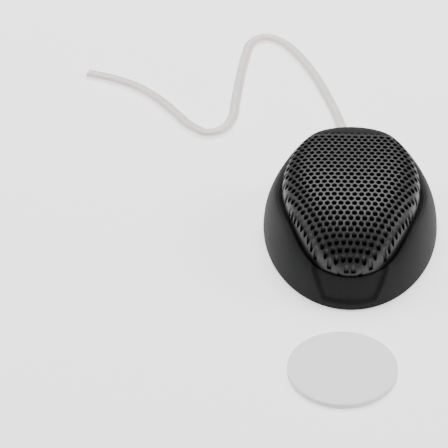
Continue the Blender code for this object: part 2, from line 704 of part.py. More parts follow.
def build_chassis():
    """Chassis ring with a down-turned rim, screw holes and two slots for the coil wires."""
    bottom, top = chassis_bottom(), chassis_top()
    rim = bottom - CHASSIS_RIM_DEPTH
    inner_rim = CHASSIS_RADIUS - CHASSIS_RIM
    profile = [(CHASSIS_RADIUS - 0.4 * MM, top), (CHASSIS_RADIUS, top - 0.4 * MM), (CHASSIS_RADIUS, rim),
               (inner_rim, rim), (inner_rim, bottom), (CHASSIS_BORE, bottom), (CHASSIS_BORE, top)]
    chassis = turned("driver_chassis", "chassis_plastic", profile, (0.0, DRIVER_Y))
    for name, place in post_places().items():
        hole = rod(f"chassis_hole_{name}", None, SMALL_SHANK + GAP, bottom - MM, top + MM, place, 16)
        boolean(chassis, hole, "DIFFERENCE")
    for side in (-1.0, 1.0):
        x = side * TAG_PLACE
        slot = box(f"wire_slot_{'left' if side < 0 else 'right'}", None,
                   (x - 0.6 * MM, DRIVER_Y + CHASSIS_BORE - 2.5 * MM, top - 1.0 * MM),
                   (x + 0.6 * MM, BOARD_START - 0.1 * MM, top + MM))
        boolean(chassis, slot, "DIFFERENCE")
    for name, place in post_places().items():
        head = top + GAP
        profile = screw_profile(SMALL_HEAD, head, head + SMALL_HEAD_THICK, SMALL_SHANK, top - SMALL_LENGTH)
        turned(f"chassis_screw_{name}", "zinc_steel", profile, place, closed=False)


def build_moving_parts():
    """Diaphragm, surround, clamp ring and the voice coil on its former."""
    axis = (0.0, DRIVER_Y)
    plate = magnet_levels()[2]
    rest = chassis_top() + GAP
    gap_middle = plate + TOP_PLATE_THICK / 2.0
    former_top = chassis_top() + 0.6 * MM
    ring("coil_former", "film", FORMER_RADIUS + FORMER_WALL, FORMER_RADIUS, former_top - FORMER_HEIGHT,
         former_top, axis)
    inner = FORMER_RADIUS + FORMER_WALL + WINDING_GAP
    ring("coil_winding", "copper", inner + WINDING_WALL, inner, gap_middle - WINDING_HEIGHT / 2.0,
         gap_middle + WINDING_HEIGHT / 2.0, axis)

    seat = former_top + GAP
    upper, lower = [], []
    for step in range(CAP_STEPS + 1):
        r = FORMER_RADIUS * step / CAP_STEPS
        z = seat + CAP_RISE * (1.0 - (r / FORMER_RADIUS) ** 2)
        upper.append((r, z + DIAPHRAGM_WALL))
        lower.append((r, z))
    for step in range(1, CONE_STEPS + 1):
        share = step / CONE_STEPS
        r = FORMER_RADIUS + (DOME_RADIUS - FORMER_RADIUS) * share
        z = seat + CONE_RISE * math.sin(share * math.pi / 2.0)
        upper.append((r, z + DIAPHRAGM_WALL))
        lower.append((r, z))
    turned("diaphragm", "film", upper + lower[::-1], axis, closed=False)

    roll_in = DOME_RADIUS + 0.15 * MM
    roll_out = SURROUND_OUT - 1.5 * MM
    low = seat + CONE_RISE
    upper = []
    lower = []
    for step in range(ROLL_STEPS + 1):
        angle = math.pi * step / ROLL_STEPS
        share = (1.0 - math.cos(angle)) / 2.0
        r = roll_in + (roll_out - roll_in) * share
        z = low + (rest - low) * share + SURROUND_ROLL * math.sin(angle)
        upper.append((r, z + SURROUND_WALL))
        lower.append((r, z))
    upper.append((SURROUND_OUT, rest + SURROUND_WALL))
    lower.append((SURROUND_OUT, rest))
    turned("surround", "soft_rubber", upper + lower[::-1], axis)
    clamp = rest + SURROUND_WALL + GAP
    ring("clamp_ring", "chassis_plastic", SURROUND_OUT, roll_out + 0.3 * MM, clamp, clamp + CLAMP_THICK, axis)


# ---------------------------------------------------------------- electrical pieces
def capacitor_height():
    return PLATE_THICK + CRADLE_RISE + CAPACITOR_RADIUS


def build_terminals():
    """Terminal board on the chassis, with two solder tags."""
    bottom = chassis_top() + GAP
    top = bottom + BOARD_THICK
    box("terminal_board", "board", (-BOARD_WIDTH / 2.0, BOARD_START, bottom),
        (BOARD_WIDTH / 2.0, BOARD_START + BOARD_DEPTH, top))
    for name, side in (("negative", 1.0), ("positive", -1.0)):
        x = side * TAG_PLACE
        start = BOARD_START + 0.4 * MM
        tag = box(f"solder_tag_{name}", "brass", (x - TAG_WIDTH / 2.0, start, top + GAP),
                  (x + TAG_WIDTH / 2.0, start + TAG_LENGTH, top + GAP + TAG_THICK))
        eye = rod(f"tag_eye_{name}", None, 0.5 * MM, top, top + MM, (x, start + TAG_LENGTH - 1.1 * MM), 16)
        boolean(tag, eye, "DIFFERENCE")


def build_wires():
    """Coil wires, capacitor with its wires, sleeve and the two cores inside the housing."""
    tag_z = chassis_top() + 2.0 * GAP + BOARD_THICK + TAG_THICK
    wire_z = chassis_top() - 0.55 * MM
    for name, side in (("negative", 1.0), ("positive", -1.0)):
        x = side * TAG_PLACE
        start = DRIVER_Y + 7.6 * MM
        bend = BOARD_START - 3.0 * MM
        tube(f"coil_wire_{name}", "copper",
             [(side * 3.2 * MM, start, wire_z), (x, start + 0.4 * (bend - start), wire_z - 0.1 * MM),
              (x, bend, wire_z), (x, BOARD_START - 0.6 * MM, wire_z + 0.3 * MM),
              (x, BOARD_START - 0.5 * MM, tag_z - 0.4 * MM),
              (x, BOARD_START + 0.3 * MM, tag_z + 0.5 * MM), (x, BOARD_START + 1.6 * MM, tag_z + 0.5 * MM)],
             COIL_WIRE_RADIUS, 0.7 * MM)

    cap_z = capacitor_height()
    half = CAPACITOR_LENGTH / 2.0
    rod("capacitor", "capacitor_sleeve", CAPACITOR_RADIUS, -half, half, (CAPACITOR_Y, cap_z), 28, "X")
    end = half + GAP
    tag_y = BOARD_START + TAG_LENGTH - 0.4 * MM
    tube("capacitor_wire_tag", "plated_steel",
         [(-end, CAPACITOR_Y, cap_z), (-end - 1.6 * MM, CAPACITOR_Y + 0.3 * MM, cap_z + 0.8 * MM),
          (-end - 1.8 * MM, CAPACITOR_Y + 1.6 * MM, cap_z + 4.0 * MM),
          (-end - 0.4 * MM, tag_y + 1.2 * MM, tag_z - 1.6 * MM),
          (-TAG_PLACE - 1.4 * MM, tag_y + 0.2 * MM, tag_z + 0.5 * MM),
          (-TAG_PLACE + 0.2 * MM, tag_y - 0.6 * MM, tag_z + 0.65 * MM)],
         WIRE_RADIUS, 1.0 * MM)
    joint = Vector((end + 3.4 * MM, CAPACITOR_Y + 0.6 * MM, cap_z - 0.6 * MM))
    tube("capacitor_wire_lead", "plated_steel",
         [(end, CAPACITOR_Y, cap_z), (end + 1.4 * MM, CAPACITOR_Y - 0.2 * MM, cap_z),
          (end + 3.0 * MM, CAPACITOR_Y - 0.2 * MM, cap_z - 0.4 * MM),
          tuple(joint)], WIRE_RADIUS, 1.0 * MM)
    direction = Vector((-1.2, 4.6, -0.6)).normalized()
    sleeve_end = joint + direction * (SLEEVE_LENGTH + GAP)
    tube("splice_sleeve", "soft_rubber", [tuple(joint + direction * GAP), tuple(sleeve_end)],
         SLEEVE_RADIUS, SLEEVE_LENGTH / 2.0)

    core_y = LEAD_START_Y - CORE_START
    side = LEAD_WIDTH / 4.0
    tube("lead_core_positive", "lead_insulation",
         [(side, core_y, LEAD_EXIT_Z), (side + 1.2 * MM, core_y - 0.8 * MM, LEAD_EXIT_Z + 0.1 * MM),
          (side + 3.8 * MM, core_y - 0.7 * MM, LEAD_EXIT_Z + 0.4 * MM),
          (side + 6.0 * MM, core_y - 0.1 * MM, LEAD_EXIT_Z + 1.0 * MM),
          tuple(sleeve_end + direction * 3.0 * GAP)], CORE_RADIUS, 1.6 * MM)
    tube("lead_core_negative", "lead_insulation",
         [(-side, core_y, LEAD_EXIT_Z), (-side - 0.4 * MM, core_y - 0.9 * MM, LEAD_EXIT_Z + 1.4 * MM),
          (-side + 0.6 * MM, core_y - 0.8 * MM, LEAD_EXIT_Z + 5.6 * MM),
          (TAG_PLACE - 1.2 * MM, core_y - 1.8 * MM, tag_z - 2.4 * MM),
          (TAG_PLACE, tag_y + 1.3 * MM, tag_z + 0.1 * MM)], CORE_RADIUS, 1.6 * MM)


def build_grommet():
    """Rubber grommet in the notch of the back wall, with a slot for the twin lead."""
    inner_y = GROMMET_INNER_Y
    outer_y = BASE_BACK + GAP
    top = GROMMET_TOP
    grommet = box("lead_grommet", "soft_rubber", (-GROMMET_HALF, inner_y - 0.2 * MM, GAP),
                  (GROMMET_HALF, outer_y + 0.2 * MM, top))
    lip = GROMMET_HALF + GROMMET_LIP
    outside = box("grommet_outer_lip", None, (-lip, outer_y, 0.1 * MM),
                  (lip, outer_y + GROMMET_LIP_THICK, top + GROMMET_LIP))
    inside = box("grommet_inner_lip", None, (-lip, inner_y - GROMMET_LIP_THICK, PLATE_THICK + GAP),
                 (lip, inner_y, top + GROMMET_LIP))
    under = box("grommet_under", None, (-lip, inner_y - 3.0 * MM, -MM),
                (lip, BASE_BACK - WALL - PLATE_GAP + GAP, PLATE_THICK + GAP))
    boolean(grommet, under, "DIFFERENCE")
    boolean(grommet, outside, "UNION")
    boolean(grommet, inside, "UNION")
    across = LEAD_WIDTH / 2.0 + GAP
    up = LEAD_THICK / 2.0 + GAP
    slot = box("grommet_slot", None, (-across, inner_y - 3.0 * MM, LEAD_EXIT_Z - up),
               (across, outer_y + 3.0 * MM, LEAD_EXIT_Z + up))
    boolean(grommet, slot, "DIFFERENCE")
    return grommet


def build_lead():
    """The twin lead from inside the grommet to its cut end, lying on the surface."""
    rest = LEAD_THICK / 2.0 + 0.15 * MM
    route = [
        (0.0, LEAD_START_Y / MM, None), (0.0, LEAD_START_Y / MM + 3.1, None), (0.0, BASE_BACK / MM + 3.0, None),
        (-0.2, BASE_BACK / MM + 8.0, 2.2), (-0.9, 38.0, rest / MM),
        (-3.2, 51.0, rest / MM), (-7.3, 66.0, rest / MM), (-12.9, 82.0, rest / MM), (-19.6, 95.5, rest / MM),
        (-24.6, 102.0, rest / MM), (-30.0, 104.6, rest / MM), (-34.4, 100.6, rest / MM),
        (-36.2, 90.0, rest / MM), (-37.3, 76.0, rest / MM), (-37.9, 64.0, rest / MM), (-38.4, 54.5, rest / MM),
        (-41.0, 47.8, rest / MM), (-46.2, 45.6, rest / MM), (-51.6, 49.2, rest / MM), (-57.2, 56.6, rest / MM),
        (-63.4, 64.6, rest / MM), (-71.3, 72.0, rest / MM), (-79.6, 76.6, rest / MM), (-88.3, 79.6, rest / MM),
    ]
    knots = [(x * MM, y * MM, LEAD_EXIT_Z if z is None else z * MM) for x, y, z in route]
    return tube("speaker_lead", "lead_insulation", knots, LEAD_THICK / 2.0, 4.0 * MM)


def build_pad():
    """Adhesive mounting pad: foam disc between two release liners."""
    foam = LINER_THICK + LINER_GAP
    upper = foam + FOAM_THICK + LINER_GAP
    disc("pad_liner_lower", "liner", PAD_RADIUS, 0.0, LINER_THICK, PAD_PLACE)
    disc("adhesive_pad", "foam", PAD_RADIUS, foam, foam + FOAM_THICK, PAD_PLACE)
    disc("pad_liner_upper", "liner", PAD_RADIUS, upper, upper + LINER_THICK, PAD_PLACE)


def main():
    global parts, cutters
    clear_scene()
    parts = make_collection("car_tweeter")
    cutters = make_collection("cutters")
    build_housing()
    build_grille()
    build_base_plate()
    build_base_screws()
    build_motor()
    build_chassis()
    build_moving_parts()
    build_terminals()
    build_wires()
    build_grommet()
    build_lead()
    build_pad()


main()
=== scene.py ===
"""Looks of the car tweeter: moulded housing, perforated grille, twin lead and adhesive pad.

Every size is in metres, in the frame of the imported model: +Z up, the low nose towards -Y,
the lead towards +Y. Each sub-assembly is a class that builds its meshes and dresses them.
"""

from __future__ import annotations

import json
import logging
import math
from dataclasses import dataclass
from enum import Enum
from typing import Sequence

import bmesh
import bpy
import numpy as np
from mathutils import Matrix, Vector

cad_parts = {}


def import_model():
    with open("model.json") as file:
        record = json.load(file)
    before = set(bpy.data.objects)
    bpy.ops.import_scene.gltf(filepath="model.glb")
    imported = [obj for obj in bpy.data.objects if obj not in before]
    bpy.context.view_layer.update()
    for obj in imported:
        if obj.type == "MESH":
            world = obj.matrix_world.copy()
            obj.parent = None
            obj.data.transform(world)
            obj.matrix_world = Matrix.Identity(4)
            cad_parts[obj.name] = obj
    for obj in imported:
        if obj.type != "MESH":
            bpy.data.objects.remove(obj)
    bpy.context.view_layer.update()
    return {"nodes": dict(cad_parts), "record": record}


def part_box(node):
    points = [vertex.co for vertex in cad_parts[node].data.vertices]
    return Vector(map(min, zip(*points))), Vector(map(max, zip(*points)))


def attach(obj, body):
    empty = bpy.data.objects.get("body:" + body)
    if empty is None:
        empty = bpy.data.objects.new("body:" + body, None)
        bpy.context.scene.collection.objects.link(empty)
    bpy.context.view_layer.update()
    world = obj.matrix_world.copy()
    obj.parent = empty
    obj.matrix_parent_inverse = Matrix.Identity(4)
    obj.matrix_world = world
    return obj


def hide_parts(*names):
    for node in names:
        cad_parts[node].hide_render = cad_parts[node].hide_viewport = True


LOG = logging.getLogger("tweeter")
MM = 0.001
GAP = 0.3 * MM
Place = tuple[float, float, float]
BMesh = bmesh.types.BMesh
Material = bpy.types.Material
Socket = bpy.types.NodeSocket
Thing = bpy.types.Object
Tree = bpy.types.NodeTree
Colour = tuple[float, float, float]


# ------------------------------------------------------------------ mesh helpers
def smoothstep(value: float) -> float:
    """Ease from 0 to 1, held at both ends."""
    t = min(1.0, max(0.0, value))
    return t * t * (3.0 - 2.0 * t)


def mix(start: Sequence[float], end: Sequence[float], share: float) -> tuple[float, ...]:
    """The place a share of the way from start to end."""
    return tuple(a + (b - a) * share for a, b in zip(start, end))


def link(name: str, data: bpy.types.ID) -> Thing:
    """Put a mesh, a camera or a light in the scene under a name, at the origin."""
    thing = bpy.data.objects.new(name, data)
    bpy.context.scene.collection.objects.link(thing)
    return thing


def smooth(mesh: bpy.types.Mesh, angle: float) -> None:
    """Shade a mesh smooth, with edges sharper than an angle in degrees kept crisp."""
    mesh.shade_smooth()
    mesh.set_sharp_from_angle(angle=math.radians(angle))


def mesh_of(bm: BMesh, name: str, angle: float = 35.0) -> Thing:
    """Turn a bmesh into a linked object with smooth faces and sharp edges past an angle.

    Args:
        bm: The mesh to take; it is freed.
        name: Name of the object.
        angle: Edges sharper than this many degrees stay crisp.

    Returns:
        The new object.
    """
    mesh = bpy.data.meshes.new(name)
    bm.to_mesh(mesh)
    bm.free()
    smooth(mesh, angle)
    return link(name, mesh)


def loft(rings: Sequence[Sequence[Place]], wrap: bool = False) -> BMesh:
    """Join closed rings of equal length into one surface, facing outwards.

    Args:
        rings: The rings, each a list of places.
        wrap: Join the last ring to the first, as round a loop.

    Returns:
        The closed surface as a bmesh.
    """
    bm = bmesh.new()
    rows = [[bm.verts.new(place) for place in ring] for ring in rings]
    pairs = list(zip(rows, rows[1:] + rows[:1])) if wrap else list(zip(rows, rows[1:]))
    for low, high in pairs:
        for i in range(len(low)):
            j = (i + 1) % len(low)
            bm.faces.new((low[i], low[j], high[j], high[i]))
    if not wrap:
        bm.faces.new(rows[0][::-1])
        bm.faces.new(rows[-1])
    bmesh.ops.recalc_face_normals(bm, faces=bm.faces)
    return bm


def turned(profile: Sequence[tuple[float, float]], centre: Place, steps: int = 64) -> BMesh:
    """A closed turned solid about an upright axis.

    Args:
        profile: Half section as (radius, height) from the axis round to the axis, or a
            closed loop that stays off the axis.
        centre: Place of the axis; heights count from its z.
        steps: Stations round the axis.

    Returns:
        The solid as a bmesh.
    """
    bm = bmesh.new()
    x, y, z = centre
    rows = []
    for radius, height in profile:
        if radius < 1e-7:
            rows.append([bm.verts.new((x, y, z + height))])
            continue
        angles = (2.0 * math.pi * i / steps for i in range(steps))
        ring = ((x + radius * math.cos(a), y + radius * math.sin(a), z + height) for a in angles)
        rows.append([bm.verts.new(place) for place in ring])
    closed = len(rows[0]) > 1
    for low, high in zip(rows, rows[1:] + rows[:1] if closed else rows[1:]):
        for i in range(steps):
            j = (i + 1) % steps
            corners = [low[i % len(low)], low[j % len(low)], high[j % len(high)], high[i % len(high)]]
            unique = list(dict.fromkeys(corners))
            if len(unique) > 2:
                bm.faces.new(unique)
    bmesh.ops.recalc_face_normals(bm, faces=bm.faces)
    return bm


def cuboid(low: Place, high: Place) -> BMesh:
    """A box between two corners."""
    bm = bmesh.new()
    bmesh.ops.create_cube(bm, size=1.0)
    size = [b - a for a, b in zip(low, high)]
    middle = [(a + b) / 2.0 for a, b in zip(low, high)]
    bmesh.ops.transform(bm, matrix=Matrix.Translation(middle) @ Matrix.Diagonal((*size, 1.0)), verts=bm.verts)
    return bm


def cut(thing: Thing, tool: Thing, operation: str = "DIFFERENCE") -> None:
    """Apply a Boolean of one closed object on another, and remove the tool."""
    modifier = thing.modifiers.new("cut", "BOOLEAN")
    modifier.operation = operation
    modifier.solver = "EXACT"
    modifier.object = tool
    bake_modifiers(thing)
    bpy.data.objects.remove(tool)


def store(mesh: bpy.types.Mesh, name: str, kind: str, values: Sequence) -> None:
    """Keep a value on every vertex under a name, for a node tree to read."""
    attribute = mesh.attributes.new(name, kind, "POINT")
    key = "vector" if kind == "FLOAT_VECTOR" else "value"
    attribute.data.foreach_set(key, np.array(values, dtype=np.float32).ravel())


def bake_modifiers(thing: Thing) -> None:
    """Turn an object's modifiers into its mesh and clear them."""
    graph = bpy.context.evaluated_depsgraph_get()
    graph.update()
    mesh = bpy.data.meshes.new_from_object(thing.evaluated_get(graph))
    mesh.name = thing.name
    thing.modifiers.clear()
    thing.data = mesh


def round_edges(thing: Thing, width: float, segments: int = 2) -> None:
    """Round an object's sharp edges by a Bevel and apply it."""
    modifier = thing.modifiers.new("round", "BEVEL")
    modifier.width = width
    modifier.segments = segments
    modifier.limit_method = "ANGLE"
    modifier.angle_limit = math.radians(40.0)
    bake_modifiers(thing)
    smooth(thing.data, 50.0)


def dress(thing: Thing, material: Material) -> None:
    """Give an object one material."""
    thing.data.materials.clear()
    thing.data.materials.append(material)


def catmull(knots: Sequence[Place], spacing: float, steps: int = 24) -> list[Vector]:
    """Even points along a centripetal curve through the knots.

    Args:
        knots: Places the curve goes through.
        spacing: Distance between the points returned.
        steps: Fine steps between two knots, from which the even points are taken.

    Returns:
        The points, first and last knot included.
    """
    points = [Vector(k) for k in knots]
    points = [2.0 * points[0] - points[1]] + points + [2.0 * points[-1] - points[-2]]
    fine: list[Vector] = []
    for p0, p1, p2, p3 in zip(points, points[1:], points[2:], points[3:]):
        times = [0.0]
        for a, b in ((p0, p1), (p1, p2), (p2, p3)):
            times.append(times[-1] + max(1e-9, (b - a).length) ** 0.5)
        t0, t1, t2, t3 = times
        for step in range(steps):
            t = t1 + (t2 - t1) * step / steps
            a1 = (p0 * (t1 - t) + p1 * (t - t0)) / (t1 - t0)
            a2 = (p1 * (t2 - t) + p2 * (t - t1)) / (t2 - t1)
            a3 = (p2 * (t3 - t) + p3 * (t - t2)) / (t3 - t2)
            b1 = (a1 * (t2 - t) + a2 * (t - t0)) / (t2 - t0)
            b2 = (a2 * (t3 - t) + a3 * (t - t1)) / (t3 - t1)
            fine.append((b1 * (t2 - t) + b2 * (t - t1)) / (t2 - t1))
    fine.append(points[-2])
    lengths = np.concatenate([[0.0], np.cumsum([(b - a).length for a, b in zip(fine, fine[1:])])])
    count = max(2, round(lengths[-1] / spacing) + 1)
    wanted = np.linspace(0.0, lengths[-1], count)
    columns = [np.interp(wanted, lengths, [p[i] for p in fine]) for i in range(3)]
    return [Vector(p) for p in zip(*columns)]


# ------------------------------------------------------------------ materials
def fill(tree: Tree, node: bpy.types.Node, inputs: dict) -> None:
    """Set a node's inputs: a socket is joined to the input, anything else is its value."""
    for name, value in inputs.items():
        if isinstance(value, Socket):
            tree.links.new(value, node.inputs[name])
        else:
            node.inputs[name].default_value = value


def add_node(tree: Tree, kind: str, inputs: dict | None = None,
             **settings: object) -> bpy.types.Node:
    """Add a node.

    Args:
        tree: The node tree.
        kind: Type of the node.
        inputs: Sockets or values for its inputs, by name or number.
        **settings: The node's own settings, made before its inputs.

    Returns:
        The new node.
    """
    node = tree.nodes.new(kind)
    for name, value in settings.items():
        setattr(node, name, value)
    fill(tree, node, inputs or {})
    return node


def new_material(name: str, inputs: dict) -> tuple[Tree, bpy.types.Node, Material]:
    """A node material with its shader's inputs set."""
    material = bpy.data.materials.new(name)
    material.use_nodes = True
    tree = material.node_tree
    shader = tree.nodes["Principled BSDF"]
    fill(tree, shader, inputs)
    return tree, shader, material


class Bump(Enum):
    """The kinds of fine surface that a finish may have."""

    NONE = "none"
    GRAIN = "grain"
    FIBRE = "fibre"
    CELLS = "cells"


@dataclass(frozen=True)
class Finish:
    """A procedural finish: colour and gloss that wander a little, and a fine bump.

    Attributes:
        name: Name of the material.
        colour: Middle colour, linear.
        roughness: Middle roughness.
        metallic: 1 for bare metal.
        drift: Share by which the colour wanders.
        drift_size: Size of the wandering patches.
        bump: Kind of fine surface.
        bump_size: Size of its features.
        bump_depth: Height of its features.
        specular: Specular level of the shader.
        subsurface: Share of light that enters the surface.
        sheen: Sheen weight.
        spread: How far the roughness wanders either way.
    """

    name: str
    colour: Colour
    roughness: float = 0.5
    metallic: float = 0.0
    drift: float = 0.12
    drift_size: float = 6.0 * MM
    bump: Bump = Bump.NONE
    bump_size: float = 0.3 * MM
    bump_depth: float = 0.02 * MM
    specular: float = 0.5
    subsurface: float = 0.0
    sheen: float = 0.0
    spread: float = 0.06

    def build(self) -> Material:
        """Make the material.

        Returns:
            A node material on Object coordinates.
        """
        tree, shader, material = new_material(self.name, {
            "Metallic": self.metallic, "Specular IOR Level": self.specular, "Sheen Weight": self.sheen,
            "Subsurface Weight": self.subsurface, "Subsurface Scale": 0.6 * MM})
        place = add_node(tree, "ShaderNodeTexCoord").outputs["Object"]
        patches = add_node(tree, "ShaderNodeTexNoise", {
            "Scale": 1.0 / self.drift_size, "Detail": 3.0, "Vector": place}).outputs["Fac"]
        fine = add_node(tree, "ShaderNodeTexNoise", {
            "Scale": 1.0 / self.bump_size, "Detail": 2.0, "Vector": place})
        self._colour(tree, shader, patches, fine.outputs["Fac"])
        spread = add_node(tree, "ShaderNodeMapRange", {
            "To Min": self.roughness - self.spread, "To Max": self.roughness + self.spread, "Value": patches})
        fill(tree, shader, {"Roughness": spread.outputs["Result"]})
        if self.bump is not Bump.NONE:
            self._bump(tree, shader, place, fine)
        return material

    def _colour(self, tree: Tree, shader: bpy.types.Node, patches: Socket,
                fine: Socket) -> None:
        """Colour that wanders in wide patches and a little in the grain."""
        both = add_node(tree, "ShaderNodeMath", {0: fine, 1: 0.35, 2: patches}, operation="MULTIPLY_ADD")
        ramp = add_node(tree, "ShaderNodeValToRGB", {"Fac": both.outputs[0]})
        for element, position, side in zip(ramp.color_ramp.elements, (0.35, 1.0), (-1.0, 1.0)):
            element.position = position
            element.color = (*[min(1.0, c * (1.0 + side * self.drift)) for c in self.colour], 1.0)
        fill(tree, shader, {"Base Color": ramp.outputs["Color"]})

    def _bump(self, tree: Tree, shader: bpy.types.Node, place: Socket,
              fine: bpy.types.Node) -> None:
        """The fine surface as a bump."""
        height = fine.outputs["Fac"]
        if self.bump is Bump.CELLS:
            cells = add_node(tree, "ShaderNodeTexVoronoi", {"Scale": 1.0 / self.bump_size, "Vector": place})
            height = cells.outputs["Distance"]
        elif self.bump is Bump.FIBRE:
            stretch = add_node(tree, "ShaderNodeMapping", {"Scale": (1.0, 0.12, 1.0), "Vector": place})
            fill(tree, fine, {"Vector": stretch.outputs["Vector"]})
        bump = add_node(tree, "ShaderNodeBump", {
            "Strength": 1.0, "Distance": self.bump_depth, "Height": height})
        fill(tree, shader, {"Normal": bump.outputs["Normal"]})


@dataclass(frozen=True)
class TwinInsulation:
    """Milky twin insulation: one core shows its copper, the other its tinned wire.

    The piece's UV map runs across the lead in u (0 to 1 from edge to edge over the top)
    and along it in v, in metres.
    """

    name: str = "twin_insulation"
    milk: Colour = (0.90, 0.885, 0.865)
    copper: Colour = (0.86, 0.70, 0.63)
    tin: Colour = (0.80, 0.80, 0.78)
    strand_pitch: float = 1.6 * MM

    def build(self) -> Material:
        """Make the material.

        Returns:
            A node material on the piece's UV map.
        """
        tree, shader, material = new_material(self.name, {
            "Roughness": 0.32, "Subsurface Weight": 0.35, "Subsurface Scale": 0.8 * MM,
            "Coat Weight": 0.25, "Coat Roughness": 0.2})
        uv = add_node(tree, "ShaderNodeUVMap").outputs["UV"]
        split = add_node(tree, "ShaderNodeSeparateXYZ", {"Vector": uv})
        ramp = add_node(tree, "ShaderNodeValToRGB", {"Fac": split.outputs["X"]})
        stops = ((0.0, self.milk), (0.24, self.copper), (0.46, self.milk), (0.54, self.milk),
                 (0.76, self.tin), (1.0, self.milk))
        elements = ramp.color_ramp.elements
        for position, _colour in stops[1:-1]:
            elements.new(position)
        for element, (_position, colour) in zip(elements, stops):
            element.color = (*colour, 1.0)
        spread = add_node(tree, "ShaderNodeMapping", {"Scale": (0.0045, 1.0, 1.0), "Vector": uv})
        twist = add_node(tree, "ShaderNodeTexWave", {
            "Scale": 1.0 / self.strand_pitch, "Distortion": 1.5, "Vector": spread.outputs["Vector"]},
            bands_direction="DIAGONAL")
        tint = add_node(tree, "ShaderNodeMix", {
            "Factor": twist.outputs["Fac"], "A": ramp.outputs["Color"], "B": (0.93, 0.92, 0.91, 1.0)},
            data_type="RGBA", blend_type="MULTIPLY")
        fill(tree, shader, {"Base Color": tint.outputs["Result"]})
        return material


class Finishes:
    """Every finish on the tweeter, built once and shared."""

    specs = (
        Finish("housing_plastic", (0.018, 0.0182, 0.0188), 0.60, drift=0.15, bump=Bump.GRAIN,
               bump_size=0.22 * MM, bump_depth=0.030 * MM, specular=0.08),
        Finish("grille_plastic", (0.015, 0.0152, 0.0157), 0.44, drift=0.10, bump=Bump.GRAIN,
               bump_size=0.16 * MM, bump_depth=0.006 * MM, specular=0.40),
        Finish("base_plastic", (0.022, 0.022, 0.023), 0.58, bump=Bump.GRAIN, bump_depth=0.03 * MM),
        Finish("chassis_plastic", (0.026, 0.026, 0.028), 0.50, bump=Bump.GRAIN),
        Finish("zinc_steel", (0.62, 0.62, 0.60), 0.30, 1.0, drift=0.06, bump=Bump.FIBRE),
        Finish("plated_steel", (0.55, 0.54, 0.50), 0.36, 1.0, drift=0.08, bump=Bump.FIBRE),
        Finish("ferrite", (0.045, 0.043, 0.042), 0.68, drift=0.2, bump=Bump.GRAIN, bump_depth=0.05 * MM),
        Finish("film", (0.10, 0.10, 0.11), 0.25, drift=0.05, bump=Bump.FIBRE, bump_depth=0.01 * MM),
        Finish("soft_rubber", (0.020, 0.020, 0.020), 0.72, bump=Bump.GRAIN, bump_depth=0.02 * MM),
        Finish("copper", (0.72, 0.33, 0.18), 0.30, 1.0, bump=Bump.FIBRE, bump_depth=0.03 * MM),
        Finish("felt", (0.16, 0.15, 0.14), 0.95, sheen=0.4, bump=Bump.FIBRE, bump_depth=0.15 * MM),
        Finish("board", (0.33, 0.17, 0.06), 0.60, bump=Bump.FIBRE),
        Finish("brass", (0.78, 0.60, 0.30), 0.32, 1.0, bump=Bump.FIBRE),
        Finish("capacitor_sleeve", (0.02, 0.05, 0.16), 0.35, bump=Bump.GRAIN),
        Finish("lead_insulation", (0.94, 0.89, 0.86), 0.35, drift=0.04, subsurface=0.3),
        Finish("foam", (0.92, 0.92, 0.91), 0.85, drift=0.03, bump=Bump.CELLS, bump_size=0.25 * MM,
               bump_depth=0.05 * MM, subsurface=0.2),
        Finish("liner", (0.95, 0.95, 0.95), 0.50, drift=0.02, bump=Bump.GRAIN, bump_size=0.5 * MM,
               bump_depth=0.006 * MM),
    )

    def __init__(self) -> None:
        """Build every material."""
        self.made = {spec.name: spec.build() for spec in self.specs}
        self.twin = TwinInsulation().build()

    def put(self, piece: Thing, slot: str, node: str = "", body: str = "tweeter",
            material: Material | None = None) -> None:
        """Dress a piece in the finish named by its slot, hide the solid that it replaces and attach it to the
        body that it rides.

        Args:
            piece: The piece.
            slot: Its slot, which is also its finish.
            node: The solid that it replaces, if any.
            body: The body that it moves with.
            material: A material to use in place of the finish.
        """
        dress(piece, material or self.made[slot])
        if node:
            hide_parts(node)
        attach(piece, body)


